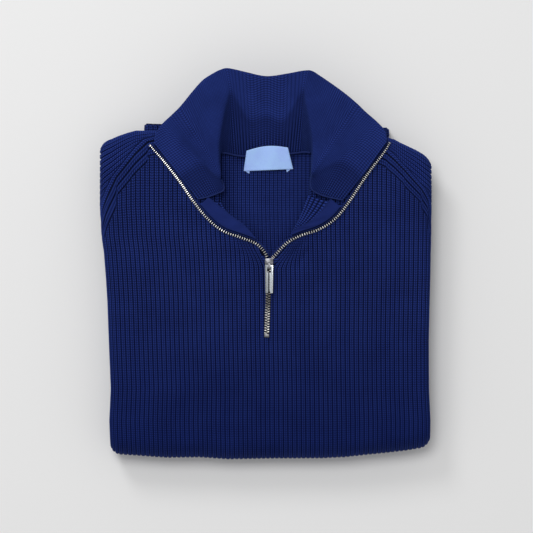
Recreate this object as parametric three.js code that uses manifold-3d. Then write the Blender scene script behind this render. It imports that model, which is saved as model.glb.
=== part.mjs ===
import * as THREE from 'three';
import Module from 'manifold-3d';
import { mergeVertices } from 'three/addons/utils/BufferGeometryUtils.js';

// Navy rib-knit quarter zip sweater, folded face up. The sides and sleeves are folded behind,
// then the lower half is folded up behind. Millimetres, +Z up, +Y towards the collar.
// The origin is on the surface it lies on, under the middle of the part.

const halfWidth = 165;
const sideRoll = 10.2;
const middleHeight = 21;
const foldLine = -179;
const shoulderLine = 119.8;
const crownHeight = 4.5;
const ribHeight = 1;
const ribPitch = 4.6;
const wall = 2.6;
const bandStep = 6;
const seamGap = 0.3;
const layerGap = 0.4;
const grooveGap = 0.6;
const neckDip = 6;
const collarWall = 2.8;
const collarRibs = 100;
const collarRibHeight = 0.5;
const flatHalf = halfWidth - sideRoll;
const wrapEnd = sideRoll * Math.PI * 0.9;

// Outline of the folded stack seen from above: its sides, its bottom fold and its shoulder line.
const sideEdges = [
  { y: -185, left: -159.8, right: 169.5 },
  { y: -160, left: -160.7, right: 169.7 },
  { y: -127, left: -159.2, right: 168.2 },
  { y: -78, left: -161.2, right: 168 },
  { y: -37, left: -162.7, right: 168.9 },
  { y: -12, left: -164.3, right: 169.6 },
  { y: 13, left: -166.3, right: 170 },
  { y: 30, left: -168.6, right: 170.4 },
  { y: 60, left: -170.4, right: 170.8 },
  { y: 130, left: -170.4, right: 171 },
];
const bottomEdge = [
  { x: -165, y: -195 }, { x: -141, y: -196.5 }, { x: -107, y: -199 }, { x: -73, y: -198.6 },
  { x: -44, y: -200.6 }, { x: 4, y: -199.8 }, { x: 53, y: -199.6 }, { x: 77, y: -198.5 },
  { x: 100, y: -196 }, { x: 118, y: -194.2 }, { x: 139, y: -191.8 }, { x: 165, y: -187.5 },
];
const shoulderEdge = [
  { x: -170, y: 128 }, { x: -147, y: 135.5 }, { x: -129, y: 138.5 }, { x: -80, y: 138 },
  { x: 80, y: 136 }, { x: 128, y: 130.5 }, { x: 149, y: 122 }, { x: 170, y: 110 },
];

// Soft ridges and troughs of the front: place, direction in degrees, half length, half width, height.
const softFolds = [
  { x: 2, y: -34, turn: 90, long: 48, wide: 8, high: -1.5 },
  { x: 22, y: 10, turn: 50, long: 24, wide: 5, high: 1.8 },
  { x: 31, y: 4, turn: 52, long: 24, wide: 5, high: -1.3 },
  { x: 42, y: -2, turn: 58, long: 30, wide: 8, high: 1 },
  { x: -20, y: 8, turn: 130, long: 22, wide: 6, high: 1.2 },
  { x: -34, y: 2, turn: 124, long: 26, wide: 7, high: -0.9 },
  { x: -95, y: 20, turn: 74, long: 70, wide: 26, high: 1 },
  { x: 100, y: -20, turn: 98, long: 80, wide: 30, high: 1.1 },
  { x: -60, y: -120, turn: 80, long: 60, wide: 24, high: -0.9 },
  { x: 55, y: -110, turn: 96, long: 60, wide: 28, high: -0.8 },
  { x: 0, y: -84, turn: 92, long: 20, wide: 14, high: 1 },
];

// Seams and edges on the front, seen from above.
const raglanLeft = [
  { x: -47, y: 108 }, { x: -52, y: 113 }, { x: -70, y: 121 }, { x: -90, y: 127 }, { x: -108, y: 129 },
  { x: -120.4, y: 126 }, { x: -137.7, y: 108.7 }, { x: -152.6, y: 90.1 }, { x: -165.3, y: 63.8 },
];
const raglanRight = [
  { x: 47, y: 108 }, { x: 52, y: 113 }, { x: 70, y: 120 }, { x: 92, y: 124 }, { x: 110, y: 121 },
  { x: 124.4, y: 114.4 }, { x: 142.1, y: 97.6 }, { x: 159.9, y: 77.8 }, { x: 167.5, y: 66 },
];
const underarm = [
  { along: sideRoll * 1.55, y: 44 }, { along: sideRoll * 2.1, y: 33 }, { along: wrapEnd, y: 24 },
];
const rollLine = [
  { x: -46.3, y: 64 }, { x: -40.7, y: 56.6 }, { x: -31.4, y: 46.9 }, { x: -23.6, y: 41.7 },
  { x: -14.4, y: 33 }, { x: -8.4, y: 25.2 }, { x: -2.5, y: 13 }, { x: 2, y: 4 }, { x: 6.5, y: 9 },
  { x: 18, y: 19 }, { x: 25.7, y: 31.4 }, { x: 33, y: 44.8 }, { x: 39, y: 60.6 }, { x: 46.3, y: 76 },
];
const zipLeft = [
  { x: -118.8, y: 122.9 }, { x: -106.6, y: 109.2 }, { x: -95.3, y: 95.3 }, { x: -86, y: 82.9 },
  { x: -74.2, y: 65.8 }, { x: -59.7, y: 48.1 }, { x: -44.6, y: 35.6 }, { x: -27.5, y: 29 },
  { x: -10.4, y: 22.5 }, { x: -1.2, y: 13.5 }, { x: 1.2, y: 8.5 },
];
const zipRight = [
  { x: 127.3, y: 125.5 }, { x: 121.4, y: 115.4 }, { x: 107.6, y: 97.6 }, { x: 97.3, y: 82.9 },
  { x: 84.3, y: 63.1 }, { x: 70.6, y: 46.9 }, { x: 54.7, y: 36.6 }, { x: 36.3, y: 30.4 },
  { x: 21.8, y: 22.5 }, { x: 10.6, y: 10.8 }, { x: 7.2, y: 7.2 },
];
const chainTop = { x: 3.6, y: -2 };
const chainEnd = { x: 1.2, y: -74 };

// The collar, section by section from its left front edge round the back: where it is sewn,
// where it turns and where its free edge lies.
const collarSection = ([seamX, seamY, seamZ], [turnX, turnY, turnZ], [edgeX, edgeY, edgeZ]) => ({
  seamX, seamY, seamZ, turnX, turnY, turnZ, edgeX, edgeY, edgeZ,
});
const collarLeft = [
  collarSection([-69.8, 67, 49], [-91, 95, 50], [-114.2, 124.6, 49.5]),
  collarSection([-59.2, 69, 50.5], [-82, 101, 52], [-112.3, 134.4, 50.5]),
  collarSection([-49, 72.6, 52.5], [-67.5, 107.6, 54.5], [-105.6, 144.2, 52]),
  collarSection([-42.5, 77.2, 52], [-53, 95, 58], [-96.3, 153, 53.5]),
  collarSection([-45.5, 89, 46.5], [-45, 91.5, 61], [-87, 162.2, 55]),
  collarSection([-46, 103, 46.5], [-47, 110, 62], [-75.7, 176, 56.5]),
  collarSection([-45.5, 113, 44], [-46.5, 130, 62.5], [-64.9, 188, 58]),
  collarSection([-43.5, 114.5, 40], [-43, 151, 62.5], [-55, 194.7, 59]),
  collarSection([-37.6, 113.3, 38.2], [-39, 171, 62], [-45.8, 199.3, 60]),
  collarSection([-29.4, 111.2, 38.2], [-34, 180, 60], [-37.6, 200.6, 60]),
  collarSection([-16, 110.7, 38.2], [-17.5, 154, 49], [-20, 196.5, 58.5]),
  collarSection([0.5, 111.5, 38.2], [0.5, 157, 47.5], [0.5, 192.3, 57]),
];
const collarRight = [
  collarSection([79.6, 66, 49], [102, 94.3, 50], [124.2, 126.2, 49.5]),
  collarSection([67.5, 68, 50.5], [91, 103.5, 52], [122.6, 136.5, 50.5]),
  collarSection([56.1, 71.1, 52.5], [77.8, 109.7, 54.5], [114.8, 145.7, 52]),
  collarSection([47.4, 77.2, 52], [58, 101.5, 58], [103.5, 155.5, 53.5]),
  collarSection([46.4, 91.2, 46.5], [46.9, 93.2, 61], [93.2, 165.3, 55]),
  collarSection([46.9, 105, 46.5], [47.9, 110.7, 62], [81.4, 175.1, 56.5]),
  collarSection([46.9, 113, 44], [47.4, 130.3, 62.5], [68.5, 184.4, 58]),
  collarSection([44.8, 115, 40], [44.3, 150.9, 62.5], [57.2, 192.1, 59]),
  collarSection([38.6, 114.9, 38.2], [40.2, 171.5, 62], [47.9, 197.8, 60]),
  collarSection([31.4, 113.8, 38.2], [37.6, 181.8, 60], [39.7, 198.3, 60]),
  collarSection([18, 112.8, 38.2], [20, 154, 49], [21.1, 194.7, 58.5]),
];

const navy = (red = 0.03, green = 0.05, blue = 0.19) => new THREE.MeshStandardMaterial({
  color: new THREE.Color(red, green, blue), roughness: 0.9, metalness: 0,
});
const steel = () => new THREE.MeshStandardMaterial({ color: 0xb9bcc2, roughness: 0.3, metalness: 1 });

const clamp = (value, low, high) => Math.min(high, Math.max(low, value));
const mix = (a, b, t) => a + (b - a) * t;
function ease(value) {
  const t = clamp(value, 0, 1);
  return t * t * (3 - 2 * t);
}

// Straight interpolation in a table sorted by one of its columns.
function lookUp(rows, key, value, column) {
  const next = clamp(rows.findIndex((row) => row[key] >= value), 1, rows.length - 1);
  const last = value > rows[rows.length - 1][key] ? rows.length - 1 : next;
  const [a, b] = [rows[last - 1], rows[last]];
  return mix(a[column], b[column], clamp((value - a[key]) / (b[key] - a[key]), 0, 1));
}

// A smooth curve through rows of numbers, at a place from 0 to 1.
function smoothRow(rows, place) {
  const at = clamp(place, 0, 1) * (rows.length - 1);
  const k = Math.min(Math.floor(at), rows.length - 2);
  const t = at - k;
  const row = (i) => rows[clamp(i, 0, rows.length - 1)];
  return Object.fromEntries(Object.keys(rows[0]).map((name) => {
    const [a, b, c, d] = [row(k - 1)[name], row(k)[name], row(k + 1)[name], row(k + 2)[name]];
    const bend = (2 * a - 5 * b + 4 * c - d) * t * t + (3 * (b - c) + d - a) * t * t * t;
    return [name, 0.5 * (2 * b + (c - a) * t + bend)];
  }));
}

// The even rectangle that the shapes are worked out on is drawn out to the real outline.
const shoulderBlend = { from: 20, over: 110 };
const bottomBlend = { from: -130, over: 70 };
function toOutline(x, y) {
  const shoulder = lookUp(shoulderEdge, 'x', x, 'y') - shoulderLine - sideRoll;
  const bottom = lookUp(bottomEdge, 'x', x, 'y') - foldLine + middleHeight;
  const top = shoulder * ease((y - shoulderBlend.from) / shoulderBlend.over);
  const foot = bottom * ease((bottomBlend.from - y) / bottomBlend.over);
  const realY = y + top + foot;
  const left = lookUp(sideEdges, 'y', realY, 'left');
  const right = lookUp(sideEdges, 'y', realY, 'right');
  return [mix(left, right, (x + halfWidth) / (2 * halfWidth)), realY];
}

// How far the stack stands above its even height: a crown over the middle, and the soft folds.
const crown = { roundness: 2.4, bottomRise: 80, shoulderRise: 60, shoulderShare: 0.35 };
const foldFade = { sides: 25, bottom: 25, shoulder: 20 };
function swell(x, y) {
  const across = 1 - clamp(Math.abs(x) / flatHalf, 0, 1) ** crown.roundness;
  const fromBottom = y - foldLine;
  const fromShoulder = shoulderLine - y;
  const along = ease(fromBottom / crown.bottomRise)
    * mix(crown.shoulderShare, 1, ease(fromShoulder / crown.shoulderRise));
  const fade = ease((flatHalf - Math.abs(x)) / foldFade.sides) * ease(fromBottom / foldFade.bottom)
    * ease(fromShoulder / foldFade.shoulder);
  const folds = softFolds.reduce((sum, fold) => {
    const turn = THREE.MathUtils.degToRad(fold.turn);
    const [dx, dy] = [x - fold.x, y - fold.y];
    const lengthwise = (dx * Math.cos(turn) + dy * Math.sin(turn)) / fold.long;
    const sideways = (dy * Math.cos(turn) - dx * Math.sin(turn)) / fold.wide;
    return sum + fold.high * Math.exp(-(lengthwise ** 2) - sideways ** 2);
  }, 0);
  return crownHeight * across * along + folds * fade;
}

// A point of the folded cloth: a runs across and on round the side rolls, b runs along and on
// round the bottom fold or the shoulder, and depth goes in from the outer face.
function stackPoint(a, b, depth = 0) {
  const [coreA, coreB] = [clamp(a, -flatHalf, flatHalf), clamp(b, foldLine, shoulderLine)];
  const [overA, overB] = [a - coreA, Math.max(0, b - coreB)];
  const over = Math.hypot(overA, overB);
  const turn = Math.min(over, wrapEnd) / sideRoll;
  const high = middleHeight + swell(coreA, coreB) - depth;
  const low = grooveGap + depth;
  const height = (high + low) / 2 + (high - low) / 2 * Math.cos(turn);
  const reach = over > 0 ? (sideRoll - depth) * Math.sin(turn) / over : 0;
  const x = coreA + overA * reach;
  const around = Math.max(0, foldLine - b) / middleHeight;
  const y = coreB + overB * reach - height * Math.sin(around);
  return new THREE.Vector3(...toOutline(x, y), middleHeight + height * Math.cos(around));
}

// Where a point seen from above lies on the cloth.
function locate(x, y) {
  const steps = 60;
  const share = 0.8;
  let [a, b] = [x, y];
  for (let step = 0; step < steps; step++) {
    const point = stackPoint(a, b);
    a += (x - point.x) * share;
    b += (y - point.y) * share;
  }
  return [a, b];
}
const bodyTop = (x, y) => stackPoint(...locate(x, y)).z;

// The back lies deeper under the open neck.
const neckHollow = { half: 58, from: -30, over: 50 };
function neckSink(a, b) {
  return neckDip * Math.exp(-((a / neckHollow.half) ** 4)) * ease((b - neckHollow.from) / neckHollow.over);
}
const backPoint = (a, b, depth) => stackPoint(a, b, wall + layerGap + neckSink(a, b) + depth);
function neckFloor(x, y) {
  const [a, b] = locate(x, Math.min(y, shoulderLine - 1));
  return backPoint(a, b, 0).z;
}

// Closed walls. Each face is a grid of points, and the two may have different counts.
function facePoints(rows, cols, at) {
  const points = [];
  for (let i = 0; i < rows; i++) {
    for (let j = 0; j < cols; j++) points.push(at(i / (rows - 1), j / (cols - 1), i, j));
  }
  return { rows, cols, points };
}

function faceTriangles(face, start, flip) {
  const triangles = [];
  for (let i = 0; i < face.rows - 1; i++) {
    for (let j = 0; j < face.cols - 1; j++) {
      const a = start + i * face.cols + j;
      const [b, c, d] = [a + 1, a + face.cols + 1, a + face.cols];
      const quad = (i + j) % 2 ? [[a, b, c], [a, c, d]] : [[a, b, d], [b, c, d]];
      quad.forEach((t) => triangles.push(flip ? t.slice().reverse() : t));
    }
  }
  return triangles;
}

function faceSides(face, start) {
  const at = (i, j) => start + i * face.cols + j;
  const count = (n, make) => Array.from({ length: n }, (_, k) => make(k));
  return [
    count(face.cols, (j) => at(0, j)),
    count(face.rows, (i) => at(i, face.cols - 1)),
    count(face.cols, (j) => at(face.rows - 1, face.cols - 1 - j)),
    count(face.rows, (i) => at(face.rows - 1 - i, 0)),
  ];
}

function zipSides(one, two) {
  const triangles = [];
  let [i, j] = [0, 0];
  while (i < one.length - 1 || j < two.length - 1) {
    const next = (i + 1) / (one.length - 1) <= (j + 1) / (two.length - 1);
    if (j === two.length - 1 || (i < one.length - 1 && next)) {
      triangles.push([one[i], two[j], one[i + 1]]);
      i += 1;
    } else {
      triangles.push([one[i], two[j], two[j + 1]]);
      j += 1;
    }
  }
  return triangles;
}

function closedGeometry(points, triangles) {
  const corner = (k) => points[k];
  const volume = triangles.reduce((sum, [a, b, c]) => (
    sum + corner(a).dot(new THREE.Vector3().crossVectors(corner(b), corner(c)))), 0);
  const facing = volume < 0 ? triangles.map((t) => t.slice().reverse()) : triangles;
  const geometry = new THREE.BufferGeometry();
  geometry.setAttribute('position', new THREE.Float32BufferAttribute(points.flatMap((p) => p.toArray()), 3));
  geometry.setIndex(facing.flat());
  return geometry;
}

function closedWall(upper, lower) {
  const start = upper.points.length;
  const triangles = [...faceTriangles(upper, 0, false), ...faceTriangles(lower, start, true)];
  const [above, below] = [faceSides(upper, 0), faceSides(lower, start)];
  above.forEach((side, k) => triangles.push(...zipSides(side, below[k])));
  return closedGeometry([...upper.points, ...lower.points], triangles);
}

// A solid through closed loops of equal count, each the same on its left and right, capped at both ends.
function loftedSolid(loops) {
  const count = loops[0].length;
  const triangles = [];
  for (let k = 0; k < loops.length - 1; k++) {
    for (let i = 0; i < count; i++) {
      const [a, b] = [k * count + i, k * count + (i + 1) % count];
      triangles.push([a, b, b + count], [a, b + count, a + count]);
    }
  }
  [0, loops.length - 1].forEach((k) => {
    for (let low = 0; low < count / 2 - 1; low++) {
      const ring = [low, low + 1, count - 2 - low, count - 1 - low].map((i) => k * count + i);
      const faces = [[ring[0], ring[1], ring[3]], [ring[1], ring[2], ring[3]]];
      faces.filter((t) => new Set(t).size === 3).forEach((t) => triangles.push(k > 0 ? t : t.reverse()));
    }
  });
  return closedGeometry(loops.flat(), triangles);
}

const wasm = await Module();
wasm.setup();
function toSolid(geometry) {
  const plain = mergeVertices(geometry, 1e-4);
  return new wasm.Manifold(new wasm.Mesh({
    numProp: 3,
    vertProperties: new Float32Array(plain.attributes.position.array),
    triVerts: new Uint32Array(plain.index.array),
  }));
}
const nearCorners = 0.02;
function fromSolid(solid) {
  const mesh = solid.getMesh();
  const raw = new THREE.BufferGeometry();
  raw.setAttribute('position', new THREE.Float32BufferAttribute(Array.from(mesh.vertProperties), 3));
  raw.setIndex(Array.from(mesh.triVerts));
  // Corners closer than this are one corner, and the slivers between them go.
  const geometry = mergeVertices(raw, nearCorners);
  const index = Array.from(geometry.index.array);
  const faces = Array.from({ length: index.length / 3 }, (_, k) => index.slice(3 * k, 3 * k + 3));
  geometry.setIndex(faces.filter((t) => new Set(t).size === 3).flat());
  return geometry;
}

const sweater = new THREE.Group();
function addPiece(name, geometry, material) {
  const mesh = new THREE.Mesh(geometry, material);
  mesh.name = name;
  sweater.add(mesh);
}

// The upper edge of the front in cloth coordinates, from the left underarm to the right one.
function seamOnCloth(rows, side) {
  const seen = rows.map(({ x, y }) => locate(x, y)).map(([a, b]) => ({ a, b }));
  const wrapped = underarm.map(({ along, y }) => ({ a: side * (flatHalf + along), b: y }));
  return [...seen, ...wrapped];
}
const leftSeam = seamOnCloth(raglanLeft, -1);
const rightSeam = seamOnCloth(raglanRight, 1);
const openingEdge = rollLine.map(({ x, y }) => locate(x, y)).map(([a, b]) => ({ a, b }));
const frontEdge = [...leftSeam.slice().reverse(), ...openingEdge, ...rightSeam];
const frontEdgeAt = (a) => lookUp(frontEdge, 'a', a, 'b') - seamGap / 2;
const halfRib = ribPitch / 2;
const frontColumns = 2 * Math.floor((flatHalf + wrapEnd) / halfRib) + 1;
const columnAt = (j, count) => (j - (count - 1) / 2) * halfRib * (frontColumns - 1) / (count - 1);

function frontPanel() {
  const foldEnd = foldLine - Math.PI * middleHeight;
  const levelRow = -20;
  const foldRows = [0.18, 0.36, 0.54, 0.74, 1].map((share) => mix(foldLine, foldEnd, share));
  const evenRows = [levelRow, mix(levelRow, foldLine, 0.5), foldLine, ...foldRows];
  const rowPlace = (a, i) => {
    const top = frontEdgeAt(a);
    const bandEnd = top - 2 * bandStep;
    return [top, top - bandStep, bandEnd, mix(bandEnd, levelRow, 0.5), ...evenRows][i];
  };
  const rows = 4 + evenRows.length;
  const upper = facePoints(rows, frontColumns, (v, u, i, j) => {
    const ridge = i === 1 || (i > 2 && j % 2 === 0);
    const a = columnAt(j, frontColumns);
    return stackPoint(a, rowPlace(a, i), ridge ? 0 : ribHeight);
  });
  const plainColumns = 41;
  const lower = facePoints(rows - 1, plainColumns, (v, u, i, j) => {
    const a = columnAt(j, plainColumns);
    return stackPoint(a, rowPlace(a, i === 0 ? 0 : i + 1), wall);
  });
  const [left, right] = [[-1, zipLeft], [1, zipRight]].map(([side, zip]) => lapel(side, zip));
  return fromSolid(toSolid(closedWall(upper, lower)).add(toSolid(left)).add(toSolid(right)));
}

// A point beside a line in a table, at a distance to its left.
function beside(rows, t, offset) {
  const here = smoothRow(rows, t);
  const ahead = smoothRow(rows, Math.min(1, t + 0.01));
  const behind = smoothRow(rows, Math.max(0, t - 0.01));
  const [dx, dy] = [ahead.x - behind.x, ahead.y - behind.y];
  const long = Math.hypot(dx, dy);
  return { x: here.x - dy / long * offset, y: here.y + dx / long * offset };
}

// The opening edge of the front, turned back on the panel from the roll line to the zip.
const lapelEdge = 3.7;
const lapelStart = 0.06;
const lapelTop = { '-1': { x: -46.3, y: 66.5 }, 1: { x: 43.5, y: 73.5 } };
const lapelEnd = { '-1': 0.68, 1: 0.58 };
const openingFoot = { x: 2, y: 5 };
function lapelLine(side, zip, t) {
  const rolled = rollLine.filter(({ x, y }) => side * (x - openingFoot.x) > 0.3 && y > openingFoot.y);
  const roll = side < 0 ? rolled : rolled.slice().reverse();
  const inner = smoothRow([lapelTop[side], ...roll.slice(1)], t);
  const outer = beside(zip.slice(4), t, -side * lapelEdge);
  const [dx, dy] = [outer.x - inner.x, outer.y - inner.y];
  const width = Math.max(Math.hypot(dx, dy), 0.8);
  return { inner, unit: { x: dx / width, y: dy / width }, width };
}
function lapelPoint(side, zip, t, w, lift) {
  const { inner, unit, width } = lapelLine(side, zip, t);
  const [x, y] = [inner.x + unit.x * width * w, inner.y + unit.y * width * w];
  return new THREE.Vector3(x, y, bodyTop(x, y) + lift);
}
function lapel(side, zip) {
  const lines = 12;
  const across = [0, 0.12, 0.3, 0.65, 1];
  const overLift = [0.4, 2.4, 3.3, 3.1, 2.9];
  const underLift = [-1.6, -1.2, 0.3, 0.4, 0.4];
  const face = (lifts) => facePoints(lines, across.length, (t, w, i, j) => (
    lapelPoint(side, zip, mix(lapelStart, lapelEnd[side], t), across[j], lifts[j])));
  return closedWall(face(overLift), face(underLift));
}

// The sleeve's side of the raglan seam: the front's own edge, moved out by a clear gap.
const sleeveGap = 2.4;
const sleeveStart = 50;
function sleeveSeam(side) {
  const edge = Array.from({ length: frontColumns }, (_, j) => columnAt(j, frontColumns))
    .filter((a) => side * a > sleeveStart).map((a) => ({ a, b: frontEdgeAt(a) }));
  if (side < 0) edge.reverse();
  const moved = edge.map(({ a, b }, k) => {
    const [before, after] = [edge[Math.max(0, k - 1)], edge[Math.min(edge.length - 1, k + 1)]];
    const [da, db] = [after.a - before.a, after.b - before.b];
    const long = Math.hypot(da, db);
    return { a: a - side * db / long * sleeveGap, b: b + side * da / long * sleeveGap, along: 0 };
  });
  for (let k = 1; k < moved.length; k++) {
    const [last, next] = [moved[k - 1], moved[k]];
    next.along = last.along + Math.hypot(next.a - last.a, next.b - last.b);
  }
  const total = moved[moved.length - 1].along;
  return (t) => ['a', 'b'].map((column) => lookUp(moved, 'along', t * total, column));
}

// Where the sleeve's ribs end: over the shoulder, round the corner and down the side roll.
const overTop = shoulderLine + wrapEnd;
const sideEnd = flatHalf + wrapEnd;
const sleeveEnds = [
  { t: 0, a: 53, b: overTop }, { t: 0.2, a: 95, b: overTop }, { t: 0.3, a: 125, b: overTop },
  { t: 0.36, a: flatHalf, b: overTop }, { t: 0.43, a: flatHalf + 20.4, b: shoulderLine + 20.4 },
  { t: 0.5, a: sideEnd, b: shoulderLine }, { t: 0.62, a: sideEnd, b: 97 }, { t: 0.77, a: sideEnd, b: 66 },
  { t: 0.86, a: sideEnd, b: 48 }, { t: 1, a: sideEnd, b: 29 },
];
// A raglan sleeve: its ribs run along the shoulder, then from the seam out to the side roll.
function sleeve(side) {
  const seam = sleeveSeam(side);
  const strip = 0.3;
  const stripRows = 7;
  const ribRows = 32;
  const lines = 15;
  const place = (t, p, depth) => {
    const [startA, startB] = seam(mix(0.01, 0.975, t));
    const [endA, endB] = ['a', 'b'].map((column) => lookUp(sleeveEnds, 't', t, column));
    return stackPoint(mix(startA, side * endA, p), mix(startB, endB, p), depth);
  };
  const upper = facePoints(stripRows + ribRows, lines, (v, u, i, j) => {
    const onStrip = i < stripRows;
    const t = onStrip ? strip * i / stripRows : mix(strip, 1, (i - stripRows) / (ribRows - 1));
    const ridge = onStrip ? j % 2 === 1 : i % 2 === 1;
    return place(t, u, ridge ? 0 : ribHeight);
  });
  const lower = facePoints(30, 8, (v, u) => place(v, u, wall));
  return closedWall(upper, lower);
}

const backRows = Array.from({ length: 9 }, (_, k) => mix(-24, shoulderLine, k / 8));
function backPanel() {
  const columns = 41;
  const upper = facePoints(backRows.length, columns, (v, u, i, j) => (
    backPoint((j - (columns - 1) / 2) * halfRib, backRows[i], j % 2 ? ribHeight : 0)));
  const lower = facePoints(backRows.length, 15, (v, u, i) => (
    backPoint((u - 0.5) * (columns - 1) * halfRib, backRows[i], wall)));
  return closedWall(upper, lower);
}

// One line across the collar: straight up from the seam, round the turn and on to the free edge.
const collarSections = [...collarLeft, ...collarRight.slice().reverse()];
const turnReach = 9;
function collarPoint(s, row) {
  const section = smoothRow(collarSections, s);
  const [seam, turn, edge] = ['seam', 'turn', 'edge'].map((name) => (
    new THREE.Vector3(section[`${name}X`], section[`${name}Y`], section[`${name}Z`])));
  const near = (from) => turn.clone().lerp(from, Math.min(0.42, turnReach / turn.distanceTo(from)));
  const [before, after] = [near(seam), near(edge)];
  if (row <= 1) return seam.lerp(before, row);
  if (row >= 4) return after.lerp(edge, (row - 4) / 4);
  const t = (row - 1) / 3;
  before.multiplyScalar((1 - t) ** 2);
  return before.addScaledVector(turn, 2 * t * (1 - t)).addScaledVector(after, t * t);
}
// The collar never sinks into what it lies on.
const collarRest = { bodyEnd: 128, neckEnd: 118, neckHalf: 47.5, neckFoot: 100 };
function collarFace(s, row, depth) {
  const bare = collarPoint(s, row);
  const step = 0.004;
  const rowStep = 0.1;
  const along = collarPoint(Math.min(1, s + step), row).sub(collarPoint(Math.max(0, s - step), row));
  const up = collarPoint(s, Math.min(8, row + rowStep)).sub(collarPoint(s, Math.max(0, row - rowStep)));
  const normal = along.cross(up).normalize();
  const point = bare.addScaledVector(normal, depth);
  const besideNeck = Math.abs(point.x) > collarRest.neckHalf || point.y < collarRest.neckFoot;
  const onBody = point.y < collarRest.bodyEnd && besideNeck;
  const inNeck = point.y < collarRest.neckEnd && !onBody;
  const clear = layerGap + (depth < 0 ? 0 : collarWall);
  if (onBody) point.z = Math.max(point.z, bodyTop(point.x, point.y) + clear);
  if (inNeck) point.z = Math.max(point.z, neckFloor(point.x, point.y) + clear);
  return point;
}
function collar() {
  const rows = [0, 1, 2, 3, 4, 6, 8];
  const upper = facePoints(rows.length, 2 * collarRibs + 1, (v, u, i, j) => (
    collarFace(u, rows[i], j % 2 && rows[i] > 0 && rows[i] < 8 ? -collarRibHeight : 0)));
  const lower = facePoints(rows.length, 45, (v, u, i) => collarFace(u, rows[i], -collarWall));
  return closedWall(upper, lower);
}

// A rolled edge of stacked layers, from the underside up to the top, with a groove between layers.
function rollSide(half, radius, low, high, steps, layers, groove) {
  return Array.from({ length: steps }, (_, k) => {
    const t = mix(0.04, 0.96, k / (steps - 1));
    const within = Math.abs(Math.sin(Math.PI * layers * t));
    const bulge = radius * Math.sqrt(Math.sin(Math.PI * t));
    return { x: half + bulge - groove * (1 - within) ** 2, z: mix(low, high, k / (steps - 1)) };
  });
}

// A loop that is the same on both sides, taken at one place along the part.
function mirroredLoop(right, place) {
  const left = right.map(({ x, z }) => ({ x: -x, z })).reverse();
  return [...right, ...left].map(({ x, z }) => place(x, z));
}

const hemStart = 95;
const coreEnd = 112;
const hemLift = 18.6;
const lowTop = middleHeight - grooveGap;
function lowerLayers() {
  const firstPlace = foldLine + 0.4;
  const places = [firstPlace, -172, -150, -115, -80, -45, -10, 25, 55, 78];
  const taper = { from: -60, over: 160, width: 38 };
  const grooveDeep = 2.6;
  return loftedSolid([...places, hemStart, hemStart + seamGap, coreEnd].map((y) => {
    const half = flatHalf - taper.width * ease((y - taper.from) / taper.over);
    const groove = grooveDeep * ease((y - firstPlace) / 50);
    const behindHem = y > hemStart;
    const [radius, low] = behindHem ? [1, hemLift + 0.6] : [sideRoll, 0];
    const right = rollSide(half, radius, low, lowTop, 11, 2, behindHem ? 0 : groove);
    return mirroredLoop(right, (x, z) => new THREE.Vector3(...toOutline(x, y), z));
  }));
}

// How far under the front's outer face the inner layers lie: deeper below the back of the neck.
function innerDepth(x, y) {
  const underBack = ease((62 - Math.abs(x)) / 13) * ease((y + 62) / 20);
  const underFolds = 1.1 * ease((50 - Math.abs(x)) / 4) * ease((45 - y) / 10);
  return wall + 0.8 + (wall + layerGap + underFolds) * underBack + neckSink(x, y);
}
function innerLayers() {
  const half = flatHalf - 3;
  const rollIn = sideRoll - wall - 1;
  const turns = [36, 60, 78].map((degrees) => THREE.MathUtils.degToRad(degrees));
  const columns = (inner) => {
    const edge = turns.map((turn) => ({ x: half, turn }));
    const right = [...inner.map((x) => ({ x, turn: 0 })), ...edge].map((c) => ({ ...c, side: 1 }));
    return [...right.filter(({ x }) => x > 0).map((c) => ({ ...c, side: -1 })).reverse(), ...right];
  };
  const farEnd = shoulderLine - 5;
  const flatRows = [foldLine, -150, -120, -90, -62, -42, ...backRows.slice(0, -1), farEnd];
  const rows = [...flatRows.map((y) => ({ y, turn: 0 })), ...turns.map((turn) => ({ y: farEnd, turn }))];
  const face = (list, outer) => facePoints(rows.length, list.length, (v, u, i, j) => {
    const { x, turn, side } = list[j];
    const { y, turn: over } = rows[i];
    const top = 2 * middleHeight + swell(side * x, y) - innerDepth(x, y);
    const bottom = x < 105 ? lowTop - 0.6 : lowTop + layerGap;
    const middle = (top + lowTop) / 2;
    const sideways = rollIn * Math.sin(turn) * Math.cos(over);
    const plan = toOutline(side * (x + sideways), y + rollIn * Math.sin(over));
    const reach = (outer ? top : bottom) - middle;
    return new THREE.Vector3(...plan, middle + reach * Math.cos(turn) * Math.cos(over));
  });
  const upper = face(columns([0, 30, 49, 64, 90, 120, half]), true);
  const lower = face(columns([0, 60, 100, 120, half]), false);
  return closedWall(upper, lower);
}

// Hidden layers as one solid: the lower half shows at the sides, the rest is inside the front.
function foldedLayers() {
  const coreRadius = middleHeight - 5.6;
  const core = new THREE.CylinderGeometry(coreRadius, coreRadius, 2 * (flatHalf - 18), 12, 8);
  core.rotateZ(Math.PI / 2).translate(0, foldLine, middleHeight);
  core.deleteAttribute('normal');
  core.deleteAttribute('uv');
  const at = core.attributes.position;
  for (let k = 0; k < at.count; k++) at.setXY(k, ...toOutline(at.getX(k), at.getY(k)));
  return fromSolid(toSolid(lowerLayers()).add(toSolid(innerLayers())).add(toSolid(core)));
}

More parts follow.
